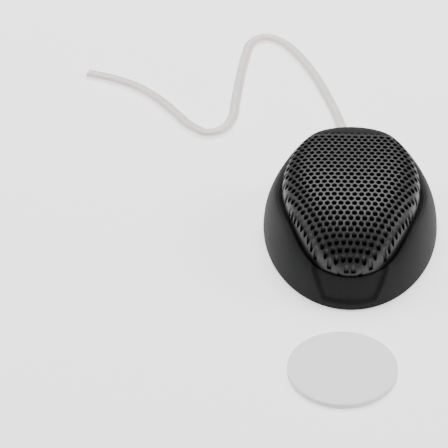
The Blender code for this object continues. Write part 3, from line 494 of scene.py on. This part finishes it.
# ------------------------------------------------------------------ shared form
@dataclass
class HousingForm:
    """The outlines that the housing and its grille share.

    Attributes:
        half_width, front, back: Base outline, from the widest line at y = 0.
        edge_*: Grille outline and the heights of its edge.
        crest_*: Ridge round the grille.
        dome_*: Grille dome.
    """

    half_width: float = 26.0 * MM
    front: float = 41.0 * MM
    back: float = 24.0 * MM
    base_power: float = 2.0
    wall: float = 1.8 * MM
    bottom_bevel: float = 0.5 * MM
    edge_centre_y: float = -6.5 * MM
    edge_half_width: float = 20.1 * MM
    edge_front: float = 31.2 * MM
    edge_back: float = 22.0 * MM
    edge_power: float = 1.6
    edge_cut_y: float = 12.3 * MM
    edge_corner: float = 0.7 * MM
    edge_z_nose: float = 9.6 * MM
    edge_z_side: float = 15.0 * MM
    edge_z_back: float = 24.1 * MM
    rise_from_y: float = -35.0 * MM
    rise_to_y: float = -19.0 * MM
    climb_from_y: float = -8.0 * MM
    climb_power: float = 1.8
    crest_rise: float = 0.8 * MM
    crest_out: float = 1.7 * MM
    groove: float = 0.35 * MM
    fade_from_y: float = -10.0 * MM
    crest_rise_back: float = 0.3 * MM
    crest_out_back: float = 0.45 * MM
    rebate: float = 0.8 * MM
    ledge_in: float = 0.5 * MM
    ledge_thick: float = 1.4 * MM
    crescent_rise: float = 0.2 * MM
    crescent_drop: float = 0.3 * MM
    skirt_power_front: float = 1.35
    skirt_power_back: float = 1.8
    dome_top: float = 25.15 * MM
    dome_flat_y: float = 3.0 * MM
    dome_power: float = 2.5
    dome_back_drop: float = 0.5 * MM
    dome_side_power: float = 3.05
    dome_back_power: float = 4.6
    square_from_y: float = -24.0 * MM
    square_to_y: float = 8.0 * MM

    def fit_to_frame(self) -> None:
        """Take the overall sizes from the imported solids."""
        low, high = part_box("housing_shell")
        self.half_width = (high.x - low.x) / 2.0
        self.front, self.back = -low.y, high.y

    def egg(self, turn: float, grow: float, half: float, front: float, back: float, centre_y: float,
            power: float, cut_y: float | None = None) -> tuple[float, float]:
        """A point of an egg outline: turn 0 is the nose, pi is the back."""
        x = (half + grow) * math.sin(turn)
        c = math.cos(turn)
        y = centre_y - ((front + grow) * c ** (2.0 / power) if c >= 0.0 else (back + grow) * c)
        if cut_y is not None:
            excess = (y - cut_y - grow) / self.edge_corner
            y -= self.edge_corner * (math.log1p(math.exp(-abs(excess))) + max(0.0, excess))
        return x, y

    def base_outline(self, turn: float, grow: float = 0.0) -> tuple[float, float]:
        """The outline that the housing stands on."""
        return self.egg(turn, grow, self.half_width, self.front, self.back, 0.0, self.base_power)

    def edge_outline(self, turn: float, grow: float = 0.0) -> tuple[float, float]:
        """The outline of the grille, cut straight at the back."""
        return self.egg(turn, grow, self.edge_half_width, self.edge_front, self.edge_back,
                        self.edge_centre_y, self.edge_power, self.edge_cut_y)

    def crest_outline(self, turn: float, grow: float) -> tuple[float, float]:
        """The outer foot of the ridge, round behind the straight edge."""
        return self.egg(turn, grow, self.edge_half_width, self.edge_front, self.edge_back,
                        self.edge_centre_y, self.edge_power)

    def edge_height(self, y: float) -> float:
        """Height of the grille edge at a y."""
        rise = smoothstep((y - self.rise_from_y) / (self.rise_to_y - self.rise_from_y))
        z = self.edge_z_nose + (self.edge_z_side - self.edge_z_nose) * rise
        climb = (y - self.climb_from_y) / (self.edge_cut_y - self.climb_from_y)
        if climb > 0.0:
            z += (self.edge_z_back - self.edge_z_side) * min(1.0, climb) ** self.climb_power
        return z

    def edge_half(self, y: float, grow: float = 0.0) -> float:
        """Half the width of the grille outline at a y."""
        if y < self.edge_centre_y:
            share = min(1.0, (self.edge_centre_y - y) / (self.edge_front + grow)) ** self.edge_power
        else:
            share = min(1.0, (y - self.edge_centre_y) / (self.edge_back + grow)) ** 2.0
        return (self.edge_half_width + grow) * math.sqrt(1.0 - share)

    def dome_height(self, x: float, y: float, inset: float = 0.0) -> float:
        """Height of the dome, or of its inner face at an inset, above a place."""
        nose_y = self.edge_centre_y - self.edge_front + inset
        if y < self.dome_flat_y:
            fall = min(1.0, (self.dome_flat_y - y) / (self.dome_flat_y - nose_y))
            rise = (self.dome_top - inset - self.edge_z_nose) * math.sqrt(1.0 - fall ** self.dome_power)
            crown = self.edge_z_nose + rise
        else:
            fall = ((y - self.dome_flat_y) / (self.edge_cut_y - self.dome_flat_y)) ** 4
            crown = self.dome_top - inset - self.dome_back_drop * fall
        half = self.edge_half(y, -inset)
        if half < 1e-6:
            return min(crown, self.edge_height(y))
        power = self.dome_side_power + (self.dome_back_power - self.dome_side_power) * smoothstep(
            (y - self.square_from_y) / (self.square_to_y - self.square_from_y))
        across = min(1.0, abs(x) / half) ** power
        return crown - (crown - self.edge_height(y)) * (1.0 - (1.0 - across) ** (1.0 / power))


# ------------------------------------------------------------------ housing
@dataclass
class Housing:
    """The moulded housing shell with its ridge, chin recess and lead notch."""

    form: HousingForm
    chin_top_half: float = 11.0 * MM
    chin_bottom_half: float = 8.0 * MM
    chin_bottom_z: float = 2.7 * MM
    chin_depth: float = 0.9 * MM
    chin_land: float = 0.55 * MM
    chin_soft: float = 1.3 * MM
    crest_drop: float = 0.7 * MM
    side_stations: int = 64
    chin_stations: int = 56
    skirt_steps: int = 44
    notch_half: float = 3.9 * MM
    notch_top: float = 5.2 * MM
    notch_deep: float = 4.5 * MM
    chin_rise: float = 0.15 * MM
    chin_fall: float = 0.1 * MM
    crest_round: float = 0.25 * MM
    ridge_steps: int = 8
    inner_steps: int = 14

    def turns(self) -> list[float]:
        """Stations round the outline, closer together across the chin and its sides."""
        near, chin_end = 0.20, 0.66
        half = [near * i / 10 for i in range(10)]
        half += [near + (chin_end - near) * i / self.chin_stations for i in range(self.chin_stations)]
        half += [chin_end + (math.pi - chin_end) * i / self.side_stations for i in range(self.side_stations)]
        half.append(math.pi)
        return half + [2.0 * math.pi - t for t in reversed(half[1:-1])]

    def chin_mask(self, x: float, z: float) -> float:
        """1 inside the recess, 0 outside, with softly rounded sides and bottom."""
        lean = min(1.0, max(0.0, (z - self.chin_bottom_z) / (self.form.edge_z_nose - self.chin_bottom_z)))
        half = self.chin_bottom_half + (self.chin_top_half - self.chin_bottom_half) * lean
        side = smoothstep((half - abs(x)) / self.chin_soft)
        bottom = smoothstep((z - self.chin_bottom_z) / self.chin_soft + 0.5)
        return side * bottom

    def skirt(self, turn: float, foot: Sequence[float], top: Sequence[float], top_z: float, first_z: float,
              steps: int) -> list[Place]:
        """Points up one face of the skirt, bulging as a superellipse."""
        form = self.form
        power = form.skirt_power_front + (form.skirt_power_back - form.skirt_power_front) * (
            1.0 - math.cos(turn)) / 2.0
        places = []
        for step in range(steps + 1):
            angle = math.pi / 2.0 * step / steps
            share = 1.0 - max(0.0, math.cos(angle)) ** (2.0 / power)
            z = first_z + (top_z - first_z) * math.sin(angle) ** (2.0 / power)
            places.append((*mix(foot, top, share), z))
        return places

    def ledge_height(self, turn: float) -> float:
        """Height of the ledge that the grille's foot stands on."""
        return self.form.edge_height(self.form.edge_outline(turn)[1]) - self.form.rebate

    def foot(self, turn: float) -> list[Place]:
        """The bevel at the bottom of the outer face."""
        bevel = self.form.bottom_bevel
        outline = self.form.base_outline
        return [(*outline(turn, -bevel), 0.0), (*outline(turn, -bevel * 0.3), bevel * 0.3)]

    def ledge(self, turn: float, groove: Sequence[float]) -> list[Place]:
        """The groove's wall and the ledge under the grille."""
        height = self.ledge_height(turn)
        return [(*groove, height), (*self.form.edge_outline(turn, -self.form.ledge_in), height)]

    def outside(self, turn: float) -> list[Place]:
        """The outer face at a station, from the foot over the ridge to the grille's ledge."""
        form = self.form
        edge_y = form.edge_outline(turn)[1]
        edge_z = form.edge_height(edge_y)
        fade = smoothstep((edge_y - form.fade_from_y) / (form.edge_cut_y - form.fade_from_y))
        groove_width = form.groove + (GAP - form.groove) * fade
        crest_out = form.crest_out + (form.crest_out_back - form.crest_out) * fade
        groove = form.edge_outline(turn, groove_width)
        foot = form.crest_outline(turn, crest_out)
        land = math.dist(groove, foot) - (crest_out - groove_width)
        behind = land / (form.edge_centre_y + form.edge_back - form.edge_cut_y)
        crest = edge_z + form.crest_rise + (form.crest_rise_back - form.crest_rise) * fade
        crest += form.crescent_rise * behind
        foot_z = crest - self.crest_round - form.crescent_drop * behind
        section = self.foot(turn)
        section += self.skirt(turn, form.base_outline(turn), foot, foot_z, form.bottom_bevel,
                              self.skirt_steps)
        inner_drop = self.crest_drop * (1.0 - fade)
        for step in range(1, self.ridge_steps + 1):
            share = step / self.ridge_steps
            rounded = foot_z + (crest - foot_z) * (1.0 - (1.0 - share) ** 2)
            slope = inner_drop * smoothstep((share - 0.25) / 0.75)
            section.append((*mix(foot, groove, share), rounded - slope))
        return section + self.ledge(turn, groove)

    def recessed(self, turn: float) -> list[Place]:
        """The outer face at a station inside the chin, point for point as outside."""
        form = self.form
        top_z = form.edge_z_nose + self.chin_rise
        land = form.edge_outline(turn, self.chin_land)
        section = self.foot(turn)
        section += self.skirt(turn, form.base_outline(turn, -self.chin_depth), land, top_z, form.bottom_bevel,
                              self.skirt_steps)
        groove = form.edge_outline(turn, form.groove)
        for step in range(1, self.ridge_steps + 1):
            share = step / self.ridge_steps
            section.append((*mix(land, groove, share), top_z - self.chin_fall * share * share))
        return section + self.ledge(turn, groove)

    def section(self, turn: float) -> list[Place]:
        """The closed section of the wall at a station."""
        form = self.form
        outer = self.outside(turn)
        if math.cos(turn) > 0.7:
            deep = self.recessed(turn)
            outer = [mix(a, b, self.chin_mask(a[0], a[2])) for a, b in zip(outer, deep)]
        inner = self.skirt(turn, form.base_outline(turn, -form.wall), form.edge_outline(turn, -form.ledge_in),
                           self.ledge_height(turn) - form.ledge_thick, 0.0, self.inner_steps)
        return outer + inner[::-1]

    def build(self, finishes: Finishes) -> Thing:
        """Build and dress the housing.

        Args:
            finishes: The shared materials.

        Returns:
            The housing piece.
        """
        housing = mesh_of(loft([self.section(t) for t in self.turns()], wrap=True), "housing")
        inner = (-self.notch_half, self.form.back - self.notch_deep, -MM)
        outer = (self.notch_half, self.form.back + 2.0 * MM, self.notch_top)
        cut(housing, mesh_of(cuboid(inner, outer), "notch"))
        smooth(housing.data, 42.0)
        finishes.put(housing, "housing_plastic", "housing_shell")
        return housing


# ------------------------------------------------------------------ grille
@dataclass
class Grille:
    """The perforated dome: a moulded shell with holes drawn straight up."""

    form: HousingForm
    wall: float = 1.4 * MM
    foot: float = 0.5 * MM
    spigot_in: float = 0.9 * MM
    spigot_depth: float = 1.8 * MM
    pitch: float = 1.95 * MM
    row_step: float = 1.6887 * MM
    first_row_y: float = -7.1 * MM
    hole_radius: float = 0.73 * MM
    hole_sides: int = 16
    rim: float = 0.11 * MM
    rim_steps: int = 4
    lift: float = 0.3 * MM
    steepest: float = 3.5
    hole_depth: float = 2.6 * MM
    floor_above_edge: float = 1.2 * MM
    reach: float = 0.25 * MM
    shallowest: float = 0.4 * MM
    slope_step: float = 0.25 * MM
    ring_gap: float = 0.02 * MM
    stations: int = 160
    rings: int = 44

    def shell(self) -> Thing:
        """The plain dome with its foot and spigot."""
        form = self.form
        turns = [2.0 * math.pi * i / self.stations for i in range(self.stations)]
        centre = (0.0, form.edge_centre_y)

        def dome_ring(share: float, inset: float) -> list[Place]:
            places = (mix(centre, form.edge_outline(t, -inset), share) for t in turns)
            return [(x, y, form.dome_height(x, y, inset)) for x, y in places]

        def level_ring(inset: float, drop: float) -> list[Place]:
            return [(*form.edge_outline(t, -inset), form.edge_height(form.edge_outline(t)[1]) - drop)
                    for t in turns]

        shares = [math.sin(math.pi / 2.0 * (k + 1) / self.rings) for k in range(self.rings)]
        rings = [dome_ring(s, 0.0) for s in shares]
        low = self.foot + self.spigot_depth
        rings += [level_ring(0.0, self.foot), level_ring(self.spigot_in, self.foot),
                  level_ring(self.spigot_in, low), level_ring(self.wall, low)]
        rings += [dome_ring(s, self.wall) for s in reversed(shares[::3])]
        return mesh_of(loft(rings), "grille_panel")

    def hole_places(self) -> list[Place]:
        """Centres of the holes on the dome: rows a row step apart, every other row offset."""
        form = self.form
        places = []
        first = math.floor((self.first_row_y - form.edge_cut_y) / self.row_step)
        last = math.ceil((self.first_row_y + form.edge_front - form.edge_centre_y) / self.row_step)
        columns = math.ceil(form.edge_half_width / self.pitch)
        for row in range(first, last + 1):
            y = self.first_row_y - self.row_step * row
            for column in range(-columns, columns + 1):
                x = self.pitch * (column + (0.0 if row % 2 else 0.5))
                if y < form.edge_cut_y - self.hole_radius and self.inside(x, y):
                    places.append((x, y, form.dome_height(x, y)))
        return places

    def inside(self, x: float, y: float) -> bool:
        """Whether a hole's centre lies on the dome."""
        form = self.form
        if y <= form.edge_centre_y:
            share_y = (form.edge_centre_y - y) / (form.edge_front + self.reach)
            return share_y ** form.edge_power + (x / (form.edge_half_width + self.reach)) ** 2 < 1.0
        share_y = (y - form.edge_centre_y) / form.edge_back
        return share_y ** 2 + (x / form.edge_half_width) ** 2 < 1.0

    def holes(self) -> Thing:
        """Points at the holes; each carries its centre, the dome's slope there and its depth."""
        places = self.hole_places()
        mesh = bpy.data.meshes.new("hole_places")
        mesh.from_pydata(places, [], [])
        store(mesh, "centre", "FLOAT_VECTOR", places)
        store(mesh, "slope", "FLOAT_VECTOR", [self.slope_at(x, y) for x, y, _z in places])
        store(mesh, "depth", "FLOAT", [self.depth_at(*place) for place in places])
        LOG.info("grille holes: %d", len(places))
        return link("hole_places", mesh)

    def slope_at(self, x: float, y: float) -> Place:
        """How the dome climbs towards +X and +Y at a place, held below the steepest slope."""
        step = self.slope_step
        high = self.form.dome_height
        slope = Vector((high(x + step, y) - high(x - step, y), high(x, y + step) - high(x, y - step), 0.0))
        slope /= 2.0 * step
        if slope.length > self.steepest:
            slope *= self.steepest / slope.length
        return tuple(slope)

    def depth_at(self, x: float, y: float, z: float) -> float:
        """Depth of a hole below the dome: blind above the foot where the wall is steep."""
        room = z - self.form.edge_height(y) - self.floor_above_edge
        return min(self.hole_depth, max(self.shallowest, room))

    def drill(self) -> Thing:
        """One hole as a closed cutter: straight below and rounded out to the surface at height 0.

        Each vertex carries its own place as "local" and the number of its ring as "level".
        The bottom's height is set far down, so that the node tree lifts it to the hole's depth.
        """
        angles = [math.radians(90.0 * k / self.rim_steps) for k in range(self.rim_steps + 1)]
        wide = self.hole_radius + self.rim
        profile = [(0.0, -1.0), (self.hole_radius, -1.0)]
        profile += [(wide - self.rim * math.cos(a), self.rim * (math.sin(a) - 1.0)) for a in angles]
        profile += [(wide, self.lift), (0.0, self.lift)]
        thing = mesh_of(turned(profile, (0.0, 0.0, 0.0), self.hole_sides), "drill")
        places = [tuple(v.co) for v in thing.data.vertices]
        store(thing.data, "local", "FLOAT_VECTOR", places)
        levels = [max(0, (index - 1) // self.hole_sides) for index in range(len(places))]
        store(thing.data, "level", "FLOAT", levels)
        return thing

    def tree(self, material: Material) -> Tree:
        """Geometry Nodes that bore an upright hole at every point of another object.

        The drill's rim follows the slope stored at the point, and nothing reaches below the
        stored depth.

        Args:
            material: Material set on the result.

        Returns:
            The node tree, with inputs Holes, Drill and Ring Gap.
        """
        tree = bpy.data.node_groups.new("perforations", "GeometryNodeTree")
        for name, direction, kind in (("Geometry", "INPUT", "Geometry"), ("Holes", "INPUT", "Object"),
                                      ("Drill", "INPUT", "Object"), ("Ring Gap", "INPUT", "Float"),
                                      ("Geometry", "OUTPUT", "Geometry")):
            tree.interface.new_socket(name, in_out=direction, socket_type=f"NodeSocket{kind}")
        given = add_node(tree, "NodeGroupInput").outputs

        def stored(name: str, kind: str = "FLOAT_VECTOR") -> Socket:
            """A named attribute's value."""
            node = add_node(tree, "GeometryNodeInputNamedAttribute", {"Name": name}, data_type=kind)
            return next(o for o in node.outputs if o.enabled and o.name == "Attribute")

        def worked(operation: str, *values: Socket, kind: str = "Math") -> Socket:
            """The result of a math node on some sockets."""
            node = add_node(tree, f"ShaderNode{kind}", dict(enumerate(values)), operation=operation)
            return next(o for o in node.outputs if o.enabled)

        def geometry(kind: str, inputs: dict, output: str = "Geometry", **settings: str) -> Socket:
            """The geometry that a node gives."""
            return add_node(tree, f"GeometryNode{kind}", inputs, **settings).outputs[output]

        holes = geometry("ObjectInfo", {"Object": given["Holes"]})
        drill = geometry("ObjectInfo", {"Object": given["Drill"]})
        points = geometry("MeshToPoints", {"Mesh": holes}, "Points")
        drills = geometry("InstanceOnPoints", {"Points": points, "Instance": drill}, "Instances")
        solid = geometry("RealizeInstances", {"Geometry": drills})
        local = stored("local")
        parts = add_node(tree, "ShaderNodeSeparateXYZ", {"Vector": local}).outputs
        tilt = worked("DOT_PRODUCT", stored("slope"), local, kind="VectorMath")
        step = worked("MULTIPLY", stored("level", "FLOAT"), given["Ring Gap"])
        lowest = worked("SUBTRACT", step, stored("depth", "FLOAT"))
        height = worked("MAXIMUM", worked("ADD", parts["Z"], tilt), lowest)
        place = add_node(tree, "ShaderNodeCombineXYZ", {"X": parts["X"], "Y": parts["Y"], "Z": height})
        moved = worked("ADD", stored("centre"), place.outputs["Vector"], kind="VectorMath")
        shaped = geometry("SetPosition", {"Geometry": solid, "Position": moved})
        bored = geometry("MeshBoolean", {"Mesh 1": given["Geometry"], "Mesh 2": shaped}, "Mesh",
                         operation="DIFFERENCE", solver="MANIFOLD")
        whole = geometry("RealizeInstances", {"Geometry": bored})
        painted = geometry("SetMaterial", {"Geometry": whole, "Material": material})
        add_node(tree, "NodeGroupOutput", {"Geometry": painted})
        return tree

    def build(self, finishes: Finishes) -> Thing:
        """Build the grille and bore its holes.

        Args:
            finishes: The shared materials.

        Returns:
            The grille piece.
        """
        panel, holes, drill = self.shell(), self.holes(), self.drill()
        modifier = panel.modifiers.new("perforations", "NODES")
        tree = self.tree(finishes.made["grille_plastic"])
        modifier.node_group = tree
        values = {"Holes": holes, "Drill": drill, "Ring Gap": self.ring_gap}
        for item in tree.interface.items_tree:
            if item.in_out == "INPUT" and item.name in values:
                modifier[item.identifier] = values[item.name]
        bake_modifiers(panel)
        for helper in (holes, drill):
            bpy.data.objects.remove(helper)
        bpy.data.node_groups.remove(tree)
        smooth(panel.data, 30.0)
        finishes.put(panel, "grille_plastic", "grille")
        return panel


# ------------------------------------------------------------------ lead
@dataclass
class TwinLead:
    """The flat twin lead, from inside the grommet to its plain cut end."""

    width: float = 3.4 * MM
    thick: float = 1.7 * MM
    exit_y: float = 25.3 * MM
    exit_z: float = 3.2 * MM
    start_y: float = 19.9 * MM
    rest_z: float = 1.0 * MM
    length: float = 0.213
    spacing: float = 0.9 * MM
    arc_steps: int = 10
    strand_count: int = 7
    strand_off: float = 0.2 * MM
    strand_radius: float = 0.095 * MM
    strand_reach: float = 0.35 * MM
    laid: tuple[tuple[float, float], ...] = (
        (-0.9, 38.0), (-3.2, 51.0), (-7.3, 66.0), (-12.9, 82.0), (-19.6, 95.5), (-24.6, 102.0),
        (-30.0, 104.6), (-34.4, 100.6), (-36.2, 90.0), (-37.3, 76.0), (-37.9, 64.0), (-38.4, 54.5),
        (-41.0, 47.8), (-46.2, 45.6), (-51.6, 49.2), (-57.2, 56.6), (-63.4, 64.6), (-71.3, 72.0),
        (-79.6, 76.6), (-88.3, 79.6))

    def route(self) -> list[Vector]:
        """Points along the centreline."""
        knots = [(0.0, y, self.exit_z) for y in (self.start_y, 23.0 * MM, 27.0 * MM)]
        knots.append((-0.2 * MM, 32.0 * MM, 2.2 * MM))
        knots += [(x * MM, y * MM, self.rest_z) for x, y in self.laid]
        return catmull(knots, self.spacing)

    def outline(self) -> list[tuple[float, float]]:
        """Figure-eight section: two round cores with a waist between them."""
        radius = self.thick / 2.0
        offset = self.width / 2.0 - radius
        waist = math.radians(38.0)
        points = []
        for side in (1.0, -1.0):
            for step in range(self.arc_steps + 1):
                angle = -math.pi + waist + (2.0 * math.pi - 2.0 * waist) * step / self.arc_steps
                points.append((side * (offset + radius * math.cos(angle)), side * radius * math.sin(angle)))
        return points

    def build(self, finishes: Finishes) -> Thing:
        """Args:
            finishes: The shared materials.

        Returns:
            The lead piece.
        """
        path = self.route()
        outline = self.outline()
        rings = []
        for index, place in enumerate(path):
            before, after = path[max(0, index - 1)], path[min(len(path) - 1, index + 1)]
            along = (after - before).normalized()
            across = along.cross(Vector((0.0, 0.0, 1.0))).normalized()
            up = across.cross(along)
            rings.append([tuple(place + across * a + up * b) for a, b in outline])
        lead = mesh_of(loft(rings), "twin_lead", 60.0)
        self.unwrap(lead, outline)
        finishes.put(lead, "lead_insulation", "speaker_lead", material=finishes.twin)
        strands = self.strands(path, finishes)
        measured = sum((b - a).length for a, b in zip(path, path[1:]))
        LOG.info("lead length %.4f m", measured)
        return lead

    def unwrap(self, lead: Thing, outline: Sequence[tuple[float, float]]) -> None:
        """UV: u across the lead from edge to edge, v along it in metres."""
        layer = lead.data.uv_layers.new(name="UVMap")
        for loop in lead.data.loops:
            ring, point = divmod(loop.vertex_index, len(outline))
            layer.data[loop.index].uv = (outline[point][0] / self.width + 0.5, ring * self.spacing)

    def strands(self, path: list[Vector], finishes: Finishes) -> list[Thing]:
        """Short bundles of bare wire at the cut end, copper in one core and tinned in the other."""
        end = path[-1]
        along = (path[-1] - path[-3]).normalized()
        across = along.cross(Vector((0.0, 0.0, 1.0))).normalized()
        up = across.cross(along)
        pieces = []
        for name, side, finish in (("lead_strands_copper", -1.0, "copper"),
                                   ("lead_strands_tinned", 1.0, "zinc_steel")):
            bm = bmesh.new()
            centre = end + across * side * (self.width / 2.0 - self.thick / 2.0)
            for strand in range(self.strand_count):
                turn = 2.0 * math.pi * strand / (self.strand_count - 1)
                off = 0.0 if strand == self.strand_count - 1 else self.strand_off
                matrix = along.to_track_quat("Z", "Y").to_matrix().to_4x4()
                matrix.translation = centre + across * off * math.cos(turn) + up * off * math.sin(turn)
                bmesh.ops.create_cone(bm, cap_ends=True, segments=8, radius1=self.strand_radius,
                                      radius2=self.strand_radius, depth=2.0 * self.strand_reach,
                                      matrix=matrix)
            piece = mesh_of(bm, name)
            finishes.put(piece, finish)
            pieces.append(piece)
        return pieces


# ------------------------------------------------------------------ grommet and pad
@dataclass
class Grommet:
    """The rubber grommet that holds the lead in the back wall, with softly rounded lips."""

    lip_thick: float = 1.0 * MM
    lip: float = 0.9 * MM
    clearance: float = 0.25 * MM
    floor: float = 2.1 * MM
    sill_y: float = 21.9 * MM

    def build(self, lead: TwinLead, finishes: Finishes) -> Thing:
        """Build the grommet round the lead.

        Args:
            lead: The lead, whose section sets the slot.
            finishes: The shared materials.

        Returns:
            The grommet piece.
        """
        low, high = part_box("lead_grommet")
        outer_y = high.y - self.lip_thick
        inner_y = low.y + self.lip_thick
        half = high.x - self.lip
        top = high.z - self.lip
        core = cuboid((-half, inner_y - 0.2 * MM, GAP), (half, outer_y + 0.2 * MM, top))
        grommet = mesh_of(core, "grommet")
        under = cuboid((-high.x - MM, inner_y - 3.0 * MM, -MM), (high.x + MM, self.sill_y, self.floor))
        cut(grommet, mesh_of(under, "under"))
        round_edges(grommet, 0.25 * MM)
        for name, a, b in (("outer", (low.x, outer_y, low.z), (high.x, high.y, high.z)),
                           ("inner", (low.x, low.y, self.floor), (high.x, inner_y, high.z))):
            lip = mesh_of(cuboid(a, b), name)
            round_edges(lip, 0.35 * MM, 3)
            cut(grommet, lip, "UNION")
        wide, tall = lead.width / 2.0 + self.clearance, lead.thick / 2.0 + self.clearance
        slot = cuboid((-wide, low.y - MM, lead.exit_z - tall), (wide, high.y + MM, lead.exit_z + tall))
        tool = mesh_of(slot, "slot")
        round_edges(tool, 0.5 * MM, 4)
        cut(grommet, tool)
        smooth(grommet.data, 40.0)
        finishes.put(grommet, "soft_rubber", "lead_grommet")
        return grommet


@dataclass
class MountingPad:
    """The adhesive mounting pad: a foam disc between two release liners."""

    steps: int = 128

    def disc(self, node: str, edge: float, rings: int = 10) -> Thing:
        """A disc that fills a node's box, with a rounded rim."""
        low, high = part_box(node)
        centre = ((low.x + high.x) / 2.0, (low.y + high.y) / 2.0, 0.0)
        radius = (high.x - low.x) / 2.0
        corner = [math.radians(a) for a in (0.0, 30.0, 60.0, 90.0)]
        profile = [(0.0, high.z)] + [((radius - edge) * k / rings, high.z) for k in range(1, rings)]
        profile += [(radius - edge + edge * math.sin(a), high.z - edge + edge * math.cos(a)) for a in corner]
        profile += [(radius - edge + edge * math.cos(a), low.z + edge - edge * math.sin(a)) for a in corner]
        profile += [(0.0, low.z)]
        return mesh_of(turned(profile, centre, self.steps), f"{node}_disc")

    def build(self, finishes: Finishes) -> list[Thing]:
        """Build the three discs.

        Args:
            finishes: The shared materials.

        Returns:
            The pieces, from the bottom up.
        """
        pieces = []
        for node, slot, body, edge in (
                ("pad_liner_lower", "liner", "pad_lower_liner", 0.05 * MM),
                ("adhesive_pad", "foam", "pad_foam", 0.12 * MM),
                ("pad_liner_upper", "liner", "pad_upper_liner", 0.05 * MM)):
            piece = self.disc(node, edge)
            finishes.put(piece, slot, node, body)
            pieces.append(piece)
        return pieces


# ------------------------------------------------------------------ carried-over solids
def dress_solids(frame: dict, finishes: Finishes) -> None:
    """Give every solid that stays its material, by the record's slots."""
    for part in frame["record"]["subparts"]:
        thing = frame["nodes"][part["node"]]
        dress(thing, finishes.made[part["material_slot"]])


# ------------------------------------------------------------------ stage
@dataclass
class Studio:
    """Pale floor, soft lights and the camera."""

    camera_place: Place = (-4.6102 * MM, -459.8008 * MM, 346.2863 * MM)
    elevation: float = 37.0
    yaw: float = 4.15
    roll: float = -1.23
    lens: float = 153.405
    sensor: float = 36.0

    def camera(self) -> None:
        """Place the camera in front of the nose, looking down."""
        data = bpy.data.cameras.new("camera")
        data.lens, data.sensor_width = self.lens, self.sensor
        data.clip_start, data.clip_end = 0.01, 20.0
        camera = link("camera", data)
        e, yaw, roll = (math.radians(v) for v in (self.elevation, self.yaw, self.roll))
        side = Vector((math.cos(yaw), math.sin(yaw), 0.0))
        ahead = Vector((-math.sin(yaw), math.cos(yaw), 0.0))
        level_up = ahead * math.sin(e) + Vector((0.0, 0.0, math.cos(e)))
        back = -(ahead * math.cos(e) - Vector((0.0, 0.0, math.sin(e))))
        right = side * math.cos(roll) + level_up * math.sin(roll)
        up = level_up * math.cos(roll) - side * math.sin(roll)
        camera.matrix_world = Matrix.Translation(self.camera_place) @ Matrix(
            (right, up, back)).transposed().to_4x4()
        bpy.context.scene.camera = camera

    def floor(self) -> None:
        """A wide pale floor just below the object."""
        bm = bmesh.new()
        bmesh.ops.create_grid(bm, x_segments=1, y_segments=1, size=3.0)
        floor = mesh_of(bm, "floor")
        floor.location.z = -0.05 * MM
        material = new_material("floor_paper", {
            "Base Color": (0.92, 0.92, 0.92, 1.0), "Roughness": 0.9, "Specular IOR Level": 0.1,
            "Emission Color": (1.0, 1.0, 1.0, 1.0), "Emission Strength": 1.1})[2]
        dress(floor, material)

    def light(self, name: str, place: Place, aim: Place, size: float, power: float) -> None:
        """A square area light at a place, aimed at another."""
        data = bpy.data.lights.new(name, "AREA")
        data.size, data.energy = size, power
        lamp = link(name, data)
        lamp.location = place
        lamp.rotation_mode = "QUATERNION"
        lamp.rotation_quaternion = (Vector(aim) - Vector(place)).to_track_quat("-Z", "Y")

    def world(self) -> None:
        """Even pale surroundings."""
        world = bpy.data.worlds.new("surroundings")
        bpy.context.scene.world = world
        world.use_nodes = True
        background = world.node_tree.nodes["Background"]
        fill(world.node_tree, background, {"Color": (1.0, 1.0, 1.0, 1.0), "Strength": 0.22})

    def build(self) -> None:
        """Set the whole stage."""
        self.floor()
        self.world()
        self.light("overhead", (0.0, 0.42, 0.85), (0.0, -0.01, 0.0), 0.7, 14.0)
        self.light("left_side", (-0.80, 0.12, 0.60), (0.0, 0.0, 0.01), 0.3, 3.2)
        self.light("right_side", (0.80, 0.12, 0.60), (0.0, 0.0, 0.01), 0.3, 5.0)


def main() -> None:
    """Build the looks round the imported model."""
    logging.basicConfig(level=logging.INFO, format="%(name)s: %(message)s")
    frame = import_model()
    studio = Studio()
    studio.camera()
    finishes = Finishes()
    lead = TwinLead()
    form = HousingForm()
    form.fit_to_frame()
    dress_solids(frame, finishes)
    LOG.info("built %s", lead.build(finishes).name)
    LOG.info("built %s", Housing(form).build(finishes).name)
    LOG.info("built %s", Grille(form).build(finishes).name)
    LOG.info("built %s", Grommet().build(lead, finishes).name)
    for piece in MountingPad().build(finishes):
        LOG.info("built %s", piece.name)
    studio.build()


if __name__ == "__main__":
    main()
